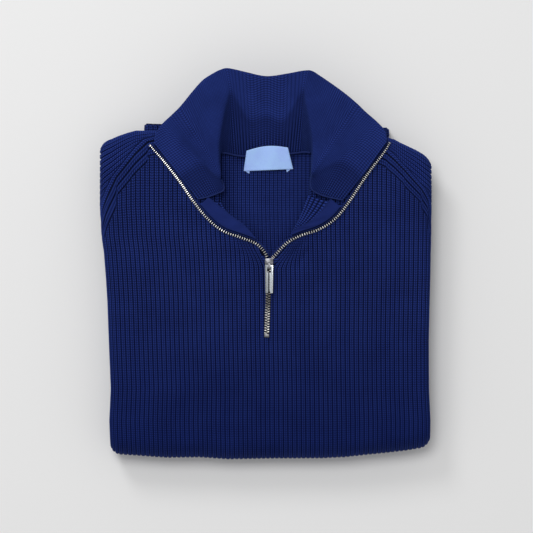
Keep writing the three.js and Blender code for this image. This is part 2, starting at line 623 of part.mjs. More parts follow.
// The hem: a rounded end of layers, the upper ones set back from the lower.
function hemBand() {
  const half = 111;
  const stations = [
    { y: 104.5, set: 0 }, { y: 114, set: 0.6 }, { y: 126, set: 0 }, { y: 132, set: -0.8 },
    { y: 138, set: 0.4 }, { y: 142.5, set: 0.2 }, { y: 144.4, set: -2 },
  ];
  return loftedSolid(stations.map(({ y, set }) => (
    mirroredLoop(rollSide(half, sideRoll * 0.9 + set, 0, hemLift, 17, 4, 2.2), (x, z) => {
      const [realX] = toOutline(x * 1.02 + 1, 60);
      const back = (z > 9 ? 1.2 : 0) * ease((y - 120) / 20);
      return new THREE.Vector3(realX, y - 0.018 * x - back, z);
    }))));
}

// A strip with a flat section, swept along points that lie on the cloth.
function strip(path, width, height) {
  const rail = path.map((point, k) => {
    const along = path[Math.min(path.length - 1, k + 1)].clone().sub(path[Math.max(0, k - 1)]);
    const sideways = new THREE.Vector3(along.y, -along.x, 0).normalize();
    return { point, sideways };
  });
  const face = (lift) => facePoints(rail.length, 2, (v, u, i, j) => {
    const { point, sideways } = rail[i];
    return point.clone().addScaledVector(sideways, (j - 0.5) * width).setZ(point.z + lift);
  });
  return closedWall(face(height), face(0));
}

function zipPath(rows, offset, lift, from = 0, to = 1, count = 30) {
  return Array.from({ length: count }, (_, k) => {
    const { x, y } = beside(rows, mix(from, to, k / (count - 1)), offset);
    return new THREE.Vector3(x, y, bodyTop(x, y) + lift);
  });
}

const toothWidth = 3;
const toothHeight = 2;
const tape = { width: 1.4, thick: 0.8, lift: 0.9, end: 0.965 };
const firstTooth = 0.012;
const stopEnd = 0.008;
function zipSide(name, rows, side) {
  const teeth = zipPath(rows, 0, layerGap, firstTooth, 1);
  addPiece(`zip_teeth_${name}`, strip(teeth, toothWidth, toothHeight), steel());
  const inward = -side * ((toothWidth + tape.width) / 2 + seamGap);
  const tapePath = zipPath(rows, inward, tape.lift, firstTooth, tape.end);
  addPiece(`zip_tape_${name}`, strip(tapePath, tape.width, tape.thick), navy(0.01, 0.015, 0.05));
  const stop = zipPath(rows, 0, layerGap, 0, stopEnd, 2);
  addPiece(`zip_stop_top_${name}`, strip(stop, toothWidth * 0.9, toothHeight * 1.1), steel());
}

// The woven strip that covers the zip inside the opening, lying on the turned-back front.
function zipFacing(side, zip) {
  const share = 0.62;
  const inset = 0.01;
  const [low, high] = [3.7, 4.5];
  const face = (lift) => facePoints(12, 4, (v, u) => {
    const t = mix(lapelStart + inset, lapelEnd[side] - 2 * inset, v);
    return lapelPoint(side, zip, t, mix(1 - share, 1, u), lift);
  });
  return closedWall(face(high), face(low));
}

// The closed half of the chain lies in the trough at the middle of the front.
const chainLift = 0.9;
const chainWidth = 5.9;
function chainPath(from, to, count) {
  return Array.from({ length: count }, (_, k) => {
    const t = mix(from, to, k / (count - 1));
    const [x, y] = [mix(chainTop.x, chainEnd.x, t), mix(chainTop.y, chainEnd.y, t)];
    return new THREE.Vector3(x, y, bodyTop(x, y) + chainLift);
  });
}

// The slider: a rounded body with a bridge that holds the pull's top bar.
const sliderLong = 11;
const sliderWide = 8.4;
const bodyHigh = 3.2;
const bridgeHigh = 4.2;
const bridgeWide = 2.2;
const bridgeWall = 1;
const bridgeFront = 2.6;
const bridgeBack = -4.6;
const barDrop = 1.6;
const pullThick = 1.5;
const pullLong = 28.6;
const hingeX = 3.6;
const hingeY = -1.4;
const sliderBase = bodyTop(hingeX, hingeY) + layerGap;
const hingeZ = sliderBase + bodyHigh + barDrop;

function roundedShape(points, radius) {
  const shape = new THREE.Shape();
  points.forEach(([x, y], k) => {
    const before = points[(k + points.length - 1) % points.length];
    const after = points[(k + 1) % points.length];
    const towards = ([px, py]) => {
      const long = Math.hypot(px - x, py - y);
      return [x + (px - x) / long * radius, y + (py - y) / long * radius];
    };
    const [start, end] = [towards(before), towards(after)];
    if (k === 0) shape.moveTo(...start);
    else shape.lineTo(...start);
    shape.quadraticCurveTo(x, y, ...end);
  });
  shape.closePath();
  return shape;
}
function extrude(shape, depth) {
  return new THREE.ExtrudeGeometry(shape, { depth, bevelEnabled: false, curveSegments: 4 });
}
const solidOf = (geometry) => {
  geometry.deleteAttribute('normal');
  geometry.deleteAttribute('uv');
  return toSolid(geometry);
};

function slider() {
  const [wide, nose, cornerRadius] = [sliderWide / 2, 2.8, 1.4];
  const [front, shoulder, back] = [6.7, 1, 6.7 - sliderLong];
  const outline = [
    [-wide, front], [-wide, shoulder], [-nose, back], [nose, back], [wide, shoulder], [wide, front],
  ];
  const body = extrude(roundedShape(outline, cornerRadius), bodyHigh).translate(0, 0, sliderBase);
  const arch = new THREE.Shape([
    [bridgeFront, -0.4], [bridgeFront, bridgeHigh - 0.8], [bridgeFront - 0.8, bridgeHigh],
    [bridgeBack + 0.8, bridgeHigh], [bridgeBack, bridgeHigh - 0.8], [bridgeBack, -0.4],
    [bridgeBack + bridgeWall, -0.4], [bridgeBack + bridgeWall, bridgeHigh - bridgeWall],
    [bridgeFront - bridgeWall, bridgeHigh - bridgeWall], [bridgeFront - bridgeWall, -0.4],
  ].map(([y, z]) => new THREE.Vector2(y, z)));
  const bridge = extrude(arch, bridgeWide).translate(0, 0, -bridgeWide / 2);
  bridge.applyMatrix4(new THREE.Matrix4().makeBasis(
    new THREE.Vector3(0, 1, 0), new THREE.Vector3(0, 0, 1), new THREE.Vector3(1, 0, 0)));
  bridge.translate(0, 0, sliderBase + bodyHigh);
  return fromSolid(solidOf(body).add(solidOf(bridge))).translate(hingeX, 0, 0);
}

// The pull hangs from its top bar and lies along the chain. It has a window and a slit lower end.
const pullHead = 1.15;
const pullWindow = { half: 2, top: -0.95, bottom: -6.4 };
const pullSlit = { half: 0.45, top: -11, notchHalf: 1.5, notchDeep: 4 };
function pull() {
  const [topHalf, footHalf, cornerRadius] = [4.2, 3.8, 0.4];
  const end = pullHead - pullLong;
  const notch = end + pullSlit.notchDeep;
  const outline = [
    [-topHalf, pullHead], [-footHalf, end], [-pullSlit.notchHalf, end], [-pullSlit.half, notch],
    [-pullSlit.half, pullSlit.top], [pullSlit.half, pullSlit.top], [pullSlit.half, notch],
    [pullSlit.notchHalf, end], [footHalf, end], [topHalf, pullHead],
  ];
  const shape = roundedShape(outline, cornerRadius);
  const { half, top, bottom } = pullWindow;
  const window = [[-half, top], [half, top], [half, bottom], [-half, bottom]];
  shape.holes.push(new THREE.Path(window.map(([x, y]) => new THREE.Vector2(x, y))));
  const geometry = extrude(shape, pullThick).translate(0, 0, -pullThick / 2);
  const tipX = mix(chainTop.x, chainEnd.x, 0.36);
  const overChain = chainLift + toothHeight + 0.35;
  const rest = bodyTop(tipX, hingeY + end) + overChain + pullThick / 2;
  geometry.rotateX(Math.asin((hingeZ - rest) / -end));
  return geometry.translate(hingeX, hingeY, hingeZ);
}

// The satin label bows a little between its two sewn ends, over the foot of the collar.
function neckLabel() {
  const [thick, rise, bow] = [1, 3.2, 1.3];
  const topEdge = { leftX: -19.4, leftY: 117, rightX: 23, rightY: 120.3, z: 42.3 };
  const lowEdge = { leftX: -22.4, leftY: 96.2, rightX: 28.4, rightY: 98.3, lift: 1.5 };
  const face = (drop) => facePoints(6, 9, (v, u) => {
    const [topX, topY] = [mix(topEdge.leftX, topEdge.rightX, u), mix(topEdge.leftY, topEdge.rightY, u)];
    const [lowX, lowY] = [mix(lowEdge.leftX, lowEdge.rightX, u), mix(lowEdge.leftY, lowEdge.rightY, u)];
    const arch = Math.sin(Math.PI * u);
    const low = neckFloor(lowX, lowY) + lowEdge.lift + bow * arch;
    const z = mix(topEdge.z, low, v) - drop;
    return new THREE.Vector3(mix(topX, lowX, v), mix(topY + rise * arch, lowY, v), z);
  });
  return closedWall(face(0), face(thick));
}

addPiece('front_panel', frontPanel(), navy());
addPiece('sleeve_left', sleeve(-1), navy());
addPiece('sleeve_right', sleeve(1), navy());
addPiece('back_panel', backPanel(), navy());
addPiece('collar', collar(), navy());
addPiece('folded_layers', foldedLayers(), navy());
addPiece('hem_band', hemBand(), navy());
zipSide('left', zipLeft, -1);
zipSide('right', zipRight, 1);
addPiece('zip_facing_left', zipFacing(-1, zipLeft), navy(0.02, 0.03, 0.14));
addPiece('zip_facing_right', zipFacing(1, zipRight), navy(0.02, 0.03, 0.14));
addPiece('zip_chain', strip(chainPath(0.05, 0.94, 14), chainWidth, toothHeight), steel());
addPiece('zip_stop_bottom', strip(chainPath(0.95, 1, 3), 0.85 * chainWidth, toothHeight * 1.1), steel());
addPiece('zip_slider', slider(), steel());
addPiece('zip_pull', pull(), steel());
addPiece('neck_label', neckLabel(), new THREE.MeshStandardMaterial({ color: 0xb4bfe6, roughness: 0.5 }));

export default sweater;
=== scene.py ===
import math

import bmesh
import bpy
import numpy as np
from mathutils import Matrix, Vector


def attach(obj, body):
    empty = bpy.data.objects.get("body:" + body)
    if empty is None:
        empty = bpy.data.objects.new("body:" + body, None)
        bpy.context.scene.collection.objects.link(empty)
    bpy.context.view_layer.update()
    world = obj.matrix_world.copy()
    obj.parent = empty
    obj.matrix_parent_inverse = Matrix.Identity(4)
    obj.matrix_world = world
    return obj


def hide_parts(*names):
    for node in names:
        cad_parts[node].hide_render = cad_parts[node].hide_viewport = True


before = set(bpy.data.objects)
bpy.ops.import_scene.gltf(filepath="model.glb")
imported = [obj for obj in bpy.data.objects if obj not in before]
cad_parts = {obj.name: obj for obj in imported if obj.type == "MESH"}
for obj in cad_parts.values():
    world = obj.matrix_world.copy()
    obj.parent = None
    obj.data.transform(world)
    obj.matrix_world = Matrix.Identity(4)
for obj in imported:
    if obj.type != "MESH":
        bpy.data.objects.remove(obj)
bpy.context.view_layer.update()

# The folded garment's own form, in millimetres, as the solids have it.
garment = {
    "halfWidth": 165.0,
    "sideRoll": 10.2,
    "middleHeight": 21.0,
    "foldLine": -179.0,
    "shoulderLine": 119.8,
    "crownHeight": 4.5,
    "wall": 2.6,
    "layerGap": 0.4,
    "grooveGap": 0.6,
    "neckDip": 6.0,
    "ribPitch": 4.6,
}
flatHalf = garment["halfWidth"] - garment["sideRoll"]
wrapEnd = garment["sideRoll"] * math.pi * 0.9

sideEdges = np.array([  # y, left, right
    (-185, -159.8, 169.5), (-160, -160.7, 169.7), (-127, -159.2, 168.2), (-78, -161.2, 168),
    (-37, -162.7, 168.9), (-12, -164.3, 169.6), (13, -166.3, 170), (30, -168.6, 170.4),
    (60, -170.4, 170.8), (130, -170.4, 171)], float)
bottomEdge = np.array([
    (-165, -195), (-141, -196.5), (-107, -199), (-73, -198.6), (-44, -200.6), (4, -199.8),
    (53, -199.6), (77, -198.5), (100, -196), (118, -194.2), (139, -191.8), (165, -187.5)], float)
shoulderEdge = np.array([
    (-170, 124.5), (-154, 129.3), (-147, 132.4), (-137, 136), (-129, 138.2), (-80, 138), (80, 136), (120, 131.4),
    (128, 129), (134, 125.6), (149, 118.4), (159, 112.6), (170, 107)], float)
softFolds = [  # x, y, direction in degrees, half length, half width, height
    (2, -34, 90, 48, 8, -1.5), (22, 10, 50, 24, 5, 1.8), (31, 4, 52, 24, 5, -1.3),
    (42, -2, 58, 30, 8, 1), (-20, 8, 130, 22, 6, 1.2), (-34, 2, 124, 26, 7, -0.9),
    (-95, 20, 74, 70, 26, 1), (100, -20, 98, 80, 30, 1.1), (-60, -120, 80, 60, 24, -0.9),
    (55, -110, 96, 60, 28, -0.8), (0, -84, 92, 20, 14, 1)]
raglanLeft = np.array([
    (-47, 108), (-52, 113), (-70, 121), (-90, 127), (-108, 129), (-120.4, 126), (-137.7, 108.7),
    (-152.6, 90.1), (-165.3, 63.8)], float)
raglanRight = np.array([
    (47, 108), (52, 113), (70, 120), (92, 124), (110, 121), (124.4, 114.4), (142.1, 97.6),
    (159.9, 77.8), (167.5, 66)], float)
rollLine = np.array([
    (-46.3, 64), (-40.7, 56.6), (-31.4, 46.9), (-23.6, 41.7), (-14.4, 33), (-8.4, 25.2),
    (-2.5, 13), (2, 4), (6.5, 9), (18, 19), (25.7, 31.4), (33, 44.8), (39, 60.6), (46.3, 76)], float)
zipLeft = np.array([
    (-118.8, 122.9), (-106.6, 109.2), (-95.3, 95.3), (-86, 82.9), (-74.2, 65.8), (-59.7, 48.1),
    (-44.6, 35.6), (-27.5, 29), (-10.4, 22.5), (-1.2, 13.5), (1.2, 8.5)], float)
zipRight = np.array([
    (127.3, 125.5), (121.4, 115.4), (107.6, 97.6), (97.3, 82.9), (84.3, 63.1), (70.6, 46.9),
    (54.7, 36.6), (36.3, 30.4), (21.8, 22.5), (10.6, 10.8), (7.2, 7.2)], float)
chainTop, chainEnd = np.array((3.6, -2.0)), np.array((1.2, -74.0))

# The collar, section by section from its left front edge round the back: seam, turn, free edge.
collarLeft = [
    (-69.8, 67, 49, -91, 95, 50, -114.2, 124.6, 49.5),
    (-59.2, 69, 50.5, -82, 101, 52, -112.3, 134.4, 50.5),
    (-49, 72.6, 52.5, -67.5, 107.6, 54.5, -105.6, 144.2, 52),
    (-42.5, 77.2, 52, -53, 95, 58, -96.3, 153, 53.5),
    (-45.5, 89, 46.5, -45, 91.5, 61, -87, 162.2, 55),
    (-46, 103, 46.5, -47, 110, 62, -75.7, 176, 56.5),
    (-45.5, 113, 44, -46.5, 130, 62.5, -64.9, 188, 58),
    (-43.5, 114.5, 40, -43, 151, 62.5, -55, 194.7, 59),
    (-37.6, 113.3, 38.2, -39, 171, 62, -45.8, 199.3, 60),
    (-29.4, 111.2, 38.2, -34, 180, 60, -37.6, 200.6, 60),
    (-16, 110.7, 38.2, -17.5, 154, 49, -20, 196.5, 58.5),
    (0.5, 111.5, 38.2, 0.5, 157, 47.5, 0.5, 192.3, 57)]
collarRight = [
    (79.6, 66, 49, 102, 94.3, 50, 124.2, 126.2, 49.5),
    (67.5, 68, 50.5, 91, 103.5, 52, 122.6, 136.5, 50.5),
    (56.1, 71.1, 52.5, 77.8, 109.7, 54.5, 114.8, 145.7, 52),
    (47.4, 77.2, 52, 58, 101.5, 58, 103.5, 155.5, 53.5),
    (46.4, 91.2, 46.5, 46.9, 93.2, 61, 93.2, 165.3, 55),
    (46.9, 105, 46.5, 47.9, 110.7, 62, 81.4, 175.1, 56.5),
    (46.9, 113, 44, 47.4, 130.3, 62.5, 68.5, 184.4, 58),
    (44.8, 115, 40, 44.3, 150.9, 62.5, 57.2, 192.1, 59),
    (38.6, 114.9, 38.2, 40.2, 171.5, 62, 47.9, 197.8, 60),
    (31.4, 113.8, 38.2, 37.6, 181.8, 60, 39.7, 198.3, 60),
    (18, 112.8, 38.2, 20, 154, 49, 21.1, 194.7, 58.5)]
collarSections = np.array(collarLeft + collarRight[::-1], float)


def mix(a, b, t):
    return a + (b - a) * t


def ease(value):
    t = np.clip(value, 0, 1)
    return t * t * (3 - 2 * t)


def smoothRow(rows, place):  # a smooth curve through rows of numbers, at places from 0 to 1
    place = np.atleast_1d(np.asarray(place, float))
    at = np.clip(place, 0, 1) * (len(rows) - 1)
    k = np.minimum(at.astype(int), len(rows) - 2)
    t = (at - k)[:, None]
    a, b, c, d = (rows[np.clip(k + step, 0, len(rows) - 1)] for step in (-1, 0, 1, 2))
    bend = (2 * a - 5 * b + 4 * c - d) * t * t + (3 * (b - c) + d - a) * t ** 3
    return 0.5 * (2 * b + (c - a) * t + bend)


def runLength(points):  # how far each point of a path is from its start
    steps = np.linalg.norm(np.diff(points, axis=0), axis=1)
    return np.concatenate([[0], np.cumsum(steps)])


def evenly(points, count):  # the same path with evenly spaced points
    length = runLength(points)
    at = np.linspace(0, length[-1], count)
    return np.stack([np.interp(at, length, points[:, k]) for k in range(points.shape[1])], -1)


def toOutline(x, y):  # the even rectangle is drawn out to the real outline
    rise = garment["shoulderLine"] + garment["sideRoll"]
    top = (np.interp(x, *shoulderEdge.T) - rise) * ease((y - 20) / 110)
    bottom = (np.interp(x, *bottomEdge.T) + 200) * ease((-130 - y) / 70)
    realY = y + top + bottom
    left = np.interp(realY, sideEdges[:, 0], sideEdges[:, 1])
    right = np.interp(realY, sideEdges[:, 0], sideEdges[:, 2])
    return mix(left, right, (x + garment["halfWidth"]) / (2 * garment["halfWidth"])), realY


def bumps(x, y, table):
    total = 0
    for foldX, foldY, turn, long, wide, high in table:
        c, s = math.cos(math.radians(turn)), math.sin(math.radians(turn))
        dx, dy = x - foldX, y - foldY
        total = total + high * np.exp(-(((dx * c + dy * s) / long) ** 2) - ((dy * c - dx * s) / wide) ** 2)
    return total


def swell(x, y):
    foldLine, shoulderLine = garment["foldLine"], garment["shoulderLine"]
    across = 1 - np.clip(np.abs(x) / flatHalf, 0, 1) ** 2.4
    along = ease((y - foldLine) / 80) * (0.35 + 0.65 * ease((shoulderLine - y) / 60))
    fade = ease((flatHalf - np.abs(x)) / 25) * ease((y - foldLine) / 25) * ease((shoulderLine - y) / 20)
    return garment["crownHeight"] * across * along + bumps(x, y, softFolds) * fade


def stackPoint(a, b, depth=0.0):  # a runs across and round the side rolls, b along and round the folds
    a, b, depth = np.broadcast_arrays(*(np.asarray(v, float) for v in (a, b, depth)))
    roll, middle = garment["sideRoll"], garment["middleHeight"]
    coreA = np.clip(a, -flatHalf, flatHalf)
    coreB = np.clip(b, garment["foldLine"], garment["shoulderLine"])
    overA, overB = a - coreA, np.maximum(0, b - coreB)
    over = np.hypot(overA, overB)
    turn = np.minimum(over, wrapEnd) / roll
    high = middle + swell(coreA, coreB) - depth
    low = garment["grooveGap"] + depth
    height = (high + low) / 2 + (high - low) / 2 * np.cos(turn)
    reach = np.where(over > 0, (roll - depth) * np.sin(turn) / np.maximum(over, 1e-9), 0)
    around = np.maximum(0, garment["foldLine"] - b) / middle
    x = coreA + overA * reach
    y = coreB + overB * reach - height * np.sin(around)
    px, py = toOutline(x, y)
    return np.stack([px, py, middle + height * np.cos(around)], -1)


def locate(x, y):  # where a point seen from above lies on the cloth
    a, b = np.array(x, float), np.array(y, float)
    for _ in range(40):
        point = stackPoint(a, b)
        a = a + (x - point[..., 0]) * 0.8
        b = b + (y - point[..., 1]) * 0.8
    return a, b


def bodyTop(x, y):
    return stackPoint(*locate(x, y))[..., 2]


def neckSink(a, b):
    return garment["neckDip"] * np.exp(-((a / 58) ** 4)) * ease((b + 30) / 50)


def backPoint(a, b, depth):
    return stackPoint(a, b, garment["wall"] + garment["layerGap"] + neckSink(a, b) + depth)


def neckFloor(x, y):
    a, b = locate(x, np.minimum(y, garment["shoulderLine"] - 1))
    return backPoint(a, b, 0)[..., 2]


def ribDepth(along, pitch, deep, paired=True):  # 0 on a rib's crown, deep in the groove beside it
    across = np.abs(np.mod(along / pitch, 1) - 0.5)
    if paired:  # a rib is a chain of stitches, with a faint furrow along its middle
        return deep * (ease((across - 0.2) / 0.3) + 0.24 * ease((0.15 - across) / 0.15))
    return deep * (1 - np.cos(np.pi * across) ** 0.8)


# Meshes: points are in millimetres and go into Blender in metres.

def gridFaces(rows, cols, start=0, flip=False):
    i, j = np.meshgrid(np.arange(rows - 1), np.arange(cols - 1), indexing="ij")
    a = start + i * cols + j
    quads = np.stack([a, a + 1, a + cols + 1, a + cols], -1).reshape(-1, 4)
    return quads[:, ::-1] if flip else quads


def rim(rows, cols, start):
    at = lambda i, j: start + i * cols + j
    return [
        [at(0, j) for j in range(cols)],
        [at(i, cols - 1) for i in range(rows)],
        [at(rows - 1, cols - 1 - j) for j in range(cols)],
        [at(rows - 1 - i, 0) for i in range(rows)]]


def joinRims(one, two):
    faces, i, j = [], 0, 0
    while i < len(one) - 1 or j < len(two) - 1:
        nextI, nextJ = (i + 1) / (len(one) - 1), (j + 1) / max(1, len(two) - 1)
        if i < len(one) - 1 and j < len(two) - 1 and abs(nextI - nextJ) < 1e-9:
            faces.append((one[i], two[j], two[j + 1], one[i + 1]))
            i, j = i + 1, j + 1
        elif j == len(two) - 1 or (i < len(one) - 1 and nextI < nextJ):
            faces.append((one[i], two[j], one[i + 1]))
            i += 1
        else:
            faces.append((one[i], two[j], two[j + 1]))
            j += 1
    return faces


def facingOut(points, faces):  # the faces turned so that their mesh has its outside out
    quads = np.array([face[:3] for face in faces])
    corner = points[quads] - points.mean(0)
    flux = np.einsum("ij,ij->i", corner[:, 0], np.cross(corner[:, 1], corner[:, 2]))
    return [tuple(face)[::-1] for face in faces] if flux.sum() < 0 else faces


def makeMesh(name, points, faces, material, body="sweater", uv=None, smooth=True):
    mesh = bpy.data.meshes.new(name)
    mesh.from_pydata((np.asarray(points, float) / 1000).tolist(), [], [[int(v) for v in f] for f in faces])
    if uv is not None:
        layer = mesh.uv_layers.new(name="knit")
        corners = np.zeros(len(mesh.loops), int)
        mesh.loops.foreach_get("vertex_index", corners)
        layer.data.foreach_set("uv", np.asarray(uv, np.float32)[corners].ravel())
    mesh.materials.append(material)
    mesh.polygons.foreach_set("use_smooth", [smooth] * len(mesh.polygons))
    piece = bpy.data.objects.new(name, mesh)
    bpy.context.scene.collection.objects.link(piece)
    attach(piece, body)
    return piece


def thinned(count, step):  # every step-th place, and the last
    return np.unique(np.r_[0:count:step, count - 1])


def shell(name, outer, inner, material, outerUv, innerUv):
    # a thin closed cloth: an outer grid of points, an inner one, and the rim between them
    r1, c1 = outer.shape[:2]
    r2, c2 = inner.shape[:2]
    points = np.concatenate([outer.reshape(-1, 3), inner.reshape(-1, 3)])
    uv = np.concatenate([outerUv.reshape(-1, 2), innerUv.reshape(-1, 2)])
    faces = gridFaces(r1, c1).tolist() + gridFaces(r2, c2, r1 * c1, True).tolist()
    for one, two in zip(rim(r1, c1, 0), rim(r2, c2, r1 * c1)):
        faces += joinRims(one, two)
    return makeMesh(name, points, facingOut(points, faces), material, uv=uv)


def tubeFaces(rows, cols, start=0, flip=False):
    i, j = np.meshgrid(np.arange(rows - 1), np.arange(cols), indexing="ij")
    a, b = start + i * cols + j, start + i * cols + (j + 1) % cols
    quads = np.stack([a, b, b + cols, a + cols], -1).reshape(-1, 4)
    return quads[:, ::-1] if flip else quads


def ringShell(name, outer, inner, material, uv):
    # a thin closed tube of cloth: rings of points outside, the same rings inside, joined at both ends
    rows, cols = outer.shape[:2]
    points = np.concatenate([outer.reshape(-1, 3), inner.reshape(-1, 3)])
    start = rows * cols
    faces = tubeFaces(rows, cols).tolist() + tubeFaces(rows, cols, start, True).tolist()
    for row, flip in ((0, False), (rows - 1, True)):
        for j in range(cols):
            a, b = row * cols + j, row * cols + (j + 1) % cols
            quad = (a, start + a, start + b, b)
            faces.append(quad[::-1] if flip else quad)
    uv = np.concatenate([uv.reshape(-1, 2)] * 2)
    return makeMesh(name, points, facingOut(points, faces), material, uv=uv)


def strands(paths, radius, sides=6, flat=1.0):
    # round threads along paths, with closed ends: the points, faces and uv of them all
    points, faces, uvs = [], [], []
    for path in paths:
        ahead = np.gradient(path, axis=0)
        ahead /= np.linalg.norm(ahead, axis=1)[:, None]
        across = np.cross(ahead, (0, 0, 1))
        across /= np.linalg.norm(across, axis=1)[:, None] + 1e-9
        up = np.cross(across, ahead)
        turn = np.linspace(0, 2 * math.pi, sides, endpoint=False)[None, :, None]
        grow = np.full(len(path), radius)
        grow[[0, -1]] *= 0.45
        ring = path[:, None] + grow[:, None, None] * (
            across[:, None] * np.cos(turn) + up[:, None] * np.sin(turn) * flat)
        start = sum(len(p) for p in points)
        rows = len(path)
        points.append(ring.reshape(-1, 3))
        faces += tubeFaces(rows, sides, start, True).tolist()
        faces.append(tuple(start + k for k in range(sides)))
        faces.append(tuple(start + (rows - 1) * sides + k for k in range(sides))[::-1])
        run = runLength(path)[:, None] + 0 * turn[0, :, 0][None]
        girth = turn[0, :, 0][None] * radius + 0 * run
        uvs.append(np.stack([girth, run], -1).reshape(-1, 2))
    return np.concatenate(points), faces, np.concatenate(uvs)


# Materials.

class Wire:  # one socket of a material; arithmetic on it adds Math nodes
    def __init__(self, shop, socket):
        self.shop, self.socket = shop, socket

    def maths(self, operation, *inputs):
        return self.shop.add("ShaderNodeMath", {"operation": operation}, dict(enumerate(inputs)))

    def __add__(self, other):
        return self.maths("ADD", self, other)

    def __radd__(self, other):
        return self.maths("ADD", other, self)

    def __sub__(self, other):
        return self.maths("SUBTRACT", self, other)

    def __rsub__(self, other):
        return self.maths("SUBTRACT", other, self)

    def __mul__(self, other):
        return self.maths("MULTIPLY", self, other)

    def __rmul__(self, other):
        return self.maths("MULTIPLY", other, self)

    def __truediv__(self, other):
        return self.maths("DIVIDE", self, other)

    def __pow__(self, other):
        return self.maths("POWER", self, other)

    def fract(self):
        return self.maths("FRACT", self)

    def size(self):
        return self.maths("ABSOLUTE", self)

    def sine(self):  # from 0 to 1, once round for each whole number
        return self.maths("SINE", self * (2 * math.pi)) * 0.5 + 0.5

    def most(self, other):
        return self.maths("MAXIMUM", self, other)

    def within(self):
        return self.maths("MINIMUM", self.most(0.0), 1.0)


class Shop:  # builds one material
    def __init__(self, name):
        self.material = bpy.data.materials.new(name)
        self.material.use_nodes = True
        self.tree = self.material.node_tree
        self.tree.nodes.clear()

    def add(self, kind, settings=None, values=None, out=0):
        node = self.tree.nodes.new(kind)
        for key, value in (settings or {}).items():
            setattr(node, key, value)
        for key, value in (values or {}).items():
            if isinstance(value, Wire):
                self.tree.links.new(value.socket, node.inputs[key])
            else:
                node.inputs[key].default_value = value
        return Wire(self, node.outputs[out]) if node.outputs else None

    def uv(self):  # the two knit coordinates, in millimetres
        both = self.add("ShaderNodeUVMap", {"uv_map": "knit"})
        return [self.add("ShaderNodeSeparateXYZ", {}, {0: both}, out=k) for k in (0, 1)]

    def place(self):
        return self.add("ShaderNodeTexCoord", out=3)

    def blend(self, factor, one, two):  # colours
        colour = lambda c: c if isinstance(c, Wire) else (*c, 1)
        return self.add("ShaderNodeMix", {"data_type": "RGBA"}, {0: factor, 6: colour(one), 7: colour(two)}, out=2)

    def noise(self, vector, scale, detail=2.0, rough=0.5):
        values = {"Vector": vector, "Scale": scale, "Detail": detail, "Roughness": rough}
        return self.add("ShaderNodeTexNoise", {}, values)

    def finish(self, values, height, strength, distance):
        bump = {"Height": height, "Strength": strength, "Distance": distance}
        values["Normal"] = self.add("ShaderNodeBump", {}, bump)
        surface = self.add("ShaderNodeBsdfPrincipled", {}, values)
        self.add("ShaderNodeOutputMaterial", {}, {"Surface": surface})
        return self.material


# The yarn's navy with painted light and shade: light on the crowns of the stitches and dark between them, groove for
# painted shade in the rib grooves, deep for painted shade towards the fold.
yarn = {
    "light": (0.0215, 0.045, 0.242),
    "dark": (0.0024, 0.0046, 0.034),
    "groove": (0.0008, 0.0015, 0.011),
    "deep": (0.0003, 0.0042, 0.052),
    "sheen": 0.16,
    "sheenTint": (0.16, 0.3, 1, 1),
    "gloss": 0.05,
}


def knitMaterial(name, pitch, course, paired=True, plain=0.12, grooves=0.92, lift=1.0, slant=0.9, strength=0.7,
                 shaded=0.0):
    shop = Shop(name)
    u, v = shop.uv()
    place = shop.place()
    drift = shop.noise(place, 120.0, 1.0) - 0.5
    across = ((u / pitch).fract() - 0.5).size()  # 0 along a rib's middle, 0.5 in the groove
    if paired:  # two arms of each stitch, either side of the middle
        arm = (across - 0.24) * 4.4
        column = (1 - arm * arm).most(0.34 - across * 2)
    else:
        column = 1 - (across * 2) ** 1.7
    marked = 1.0
    if shaded:  # the collar's ribs show most where it is sewn on
        marked = (v * -0.06 - 1.1).within() * 0.7 + 0.3
        column = column * marked + (1 - marked) * 0.55
    loop = (v / course - across * slant + drift * 0.4).sine()
    fuzz = shop.noise(place, 1500.0, 3.0, 0.7)
    patch = shop.noise(place, 28.0, 3.0, 0.6)
    lit = column.most(0.0) * (loop * (1 - plain) + plain)
    low = ((shop.add("ShaderNodeSeparateXYZ", {}, {0: place}, out=1) + 0.03) * -7).within()  # painted shade: darker towards the fold
    tone = lit * 0.95 + (fuzz - 0.5) * 0.4 + (patch - 0.5) * 0.35
    # lift makes brighter or darker copies of the one yarn: painted light and shade, piece by piece
    light = tuple(c * lift for c in yarn["light"])
    dark = tuple(c * lift for c in yarn["dark"])
    # painted light and shade of the stitches, crowns lighter and between them darker, with random fuzz and patches of
    # tone
    colour = shop.blend(tone.within(), dark, light)
    # painted shade in the rib grooves
    groove = ((across - 0.33) / 0.15).within() * marked * grooves
    colour = shop.blend(groove, colour, yarn["groove"])
    colour = shop.blend(low * 0.4, colour, yarn["deep"])
    if shaded:  # the collar's inside lies in its own shade
        colour = shop.blend((v * -0.12).within() * shaded, colour, yarn["groove"])
    return shop.finish({
        "Base Color": colour, "Roughness": 0.8 + fuzz * 0.15, "Sheen Weight": yarn["sheen"],
        "Sheen Roughness": 0.4, "Sheen Tint": yarn["sheenTint"], "Specular IOR Level": yarn["gloss"],
    }, lit * 0.85 + fuzz * 0.15, strength, 0.0006)


def wovenMaterial(name, light, dark, grain=900.0, rough=0.75, gloss=0.1, pitch=0.9, sheen=0.0):
    shop = Shop(name)
    u, v = shop.uv()
    place = shop.place()
    twill = ((u + v) / pitch).sine()
    thread = ((u - v) / (pitch * 0.6)).sine()
    speck = shop.noise(place, grain, 3.0, 0.6)
    cloudy = shop.noise(place, 45.0, 3.0, 0.55)
    height = twill * 0.55 + thread * 0.25 + speck * 0.2
    colour = shop.blend((height * 0.55 + cloudy * 0.6 - 0.1).within(), dark, light)
    return shop.finish({
        "Base Color": colour, "Roughness": rough + speck * 0.15, "Specular IOR Level": gloss,
        "Sheen Weight": sheen, "Sheen Tint": yarn["sheenTint"]}, height, 0.45, 0.0003)


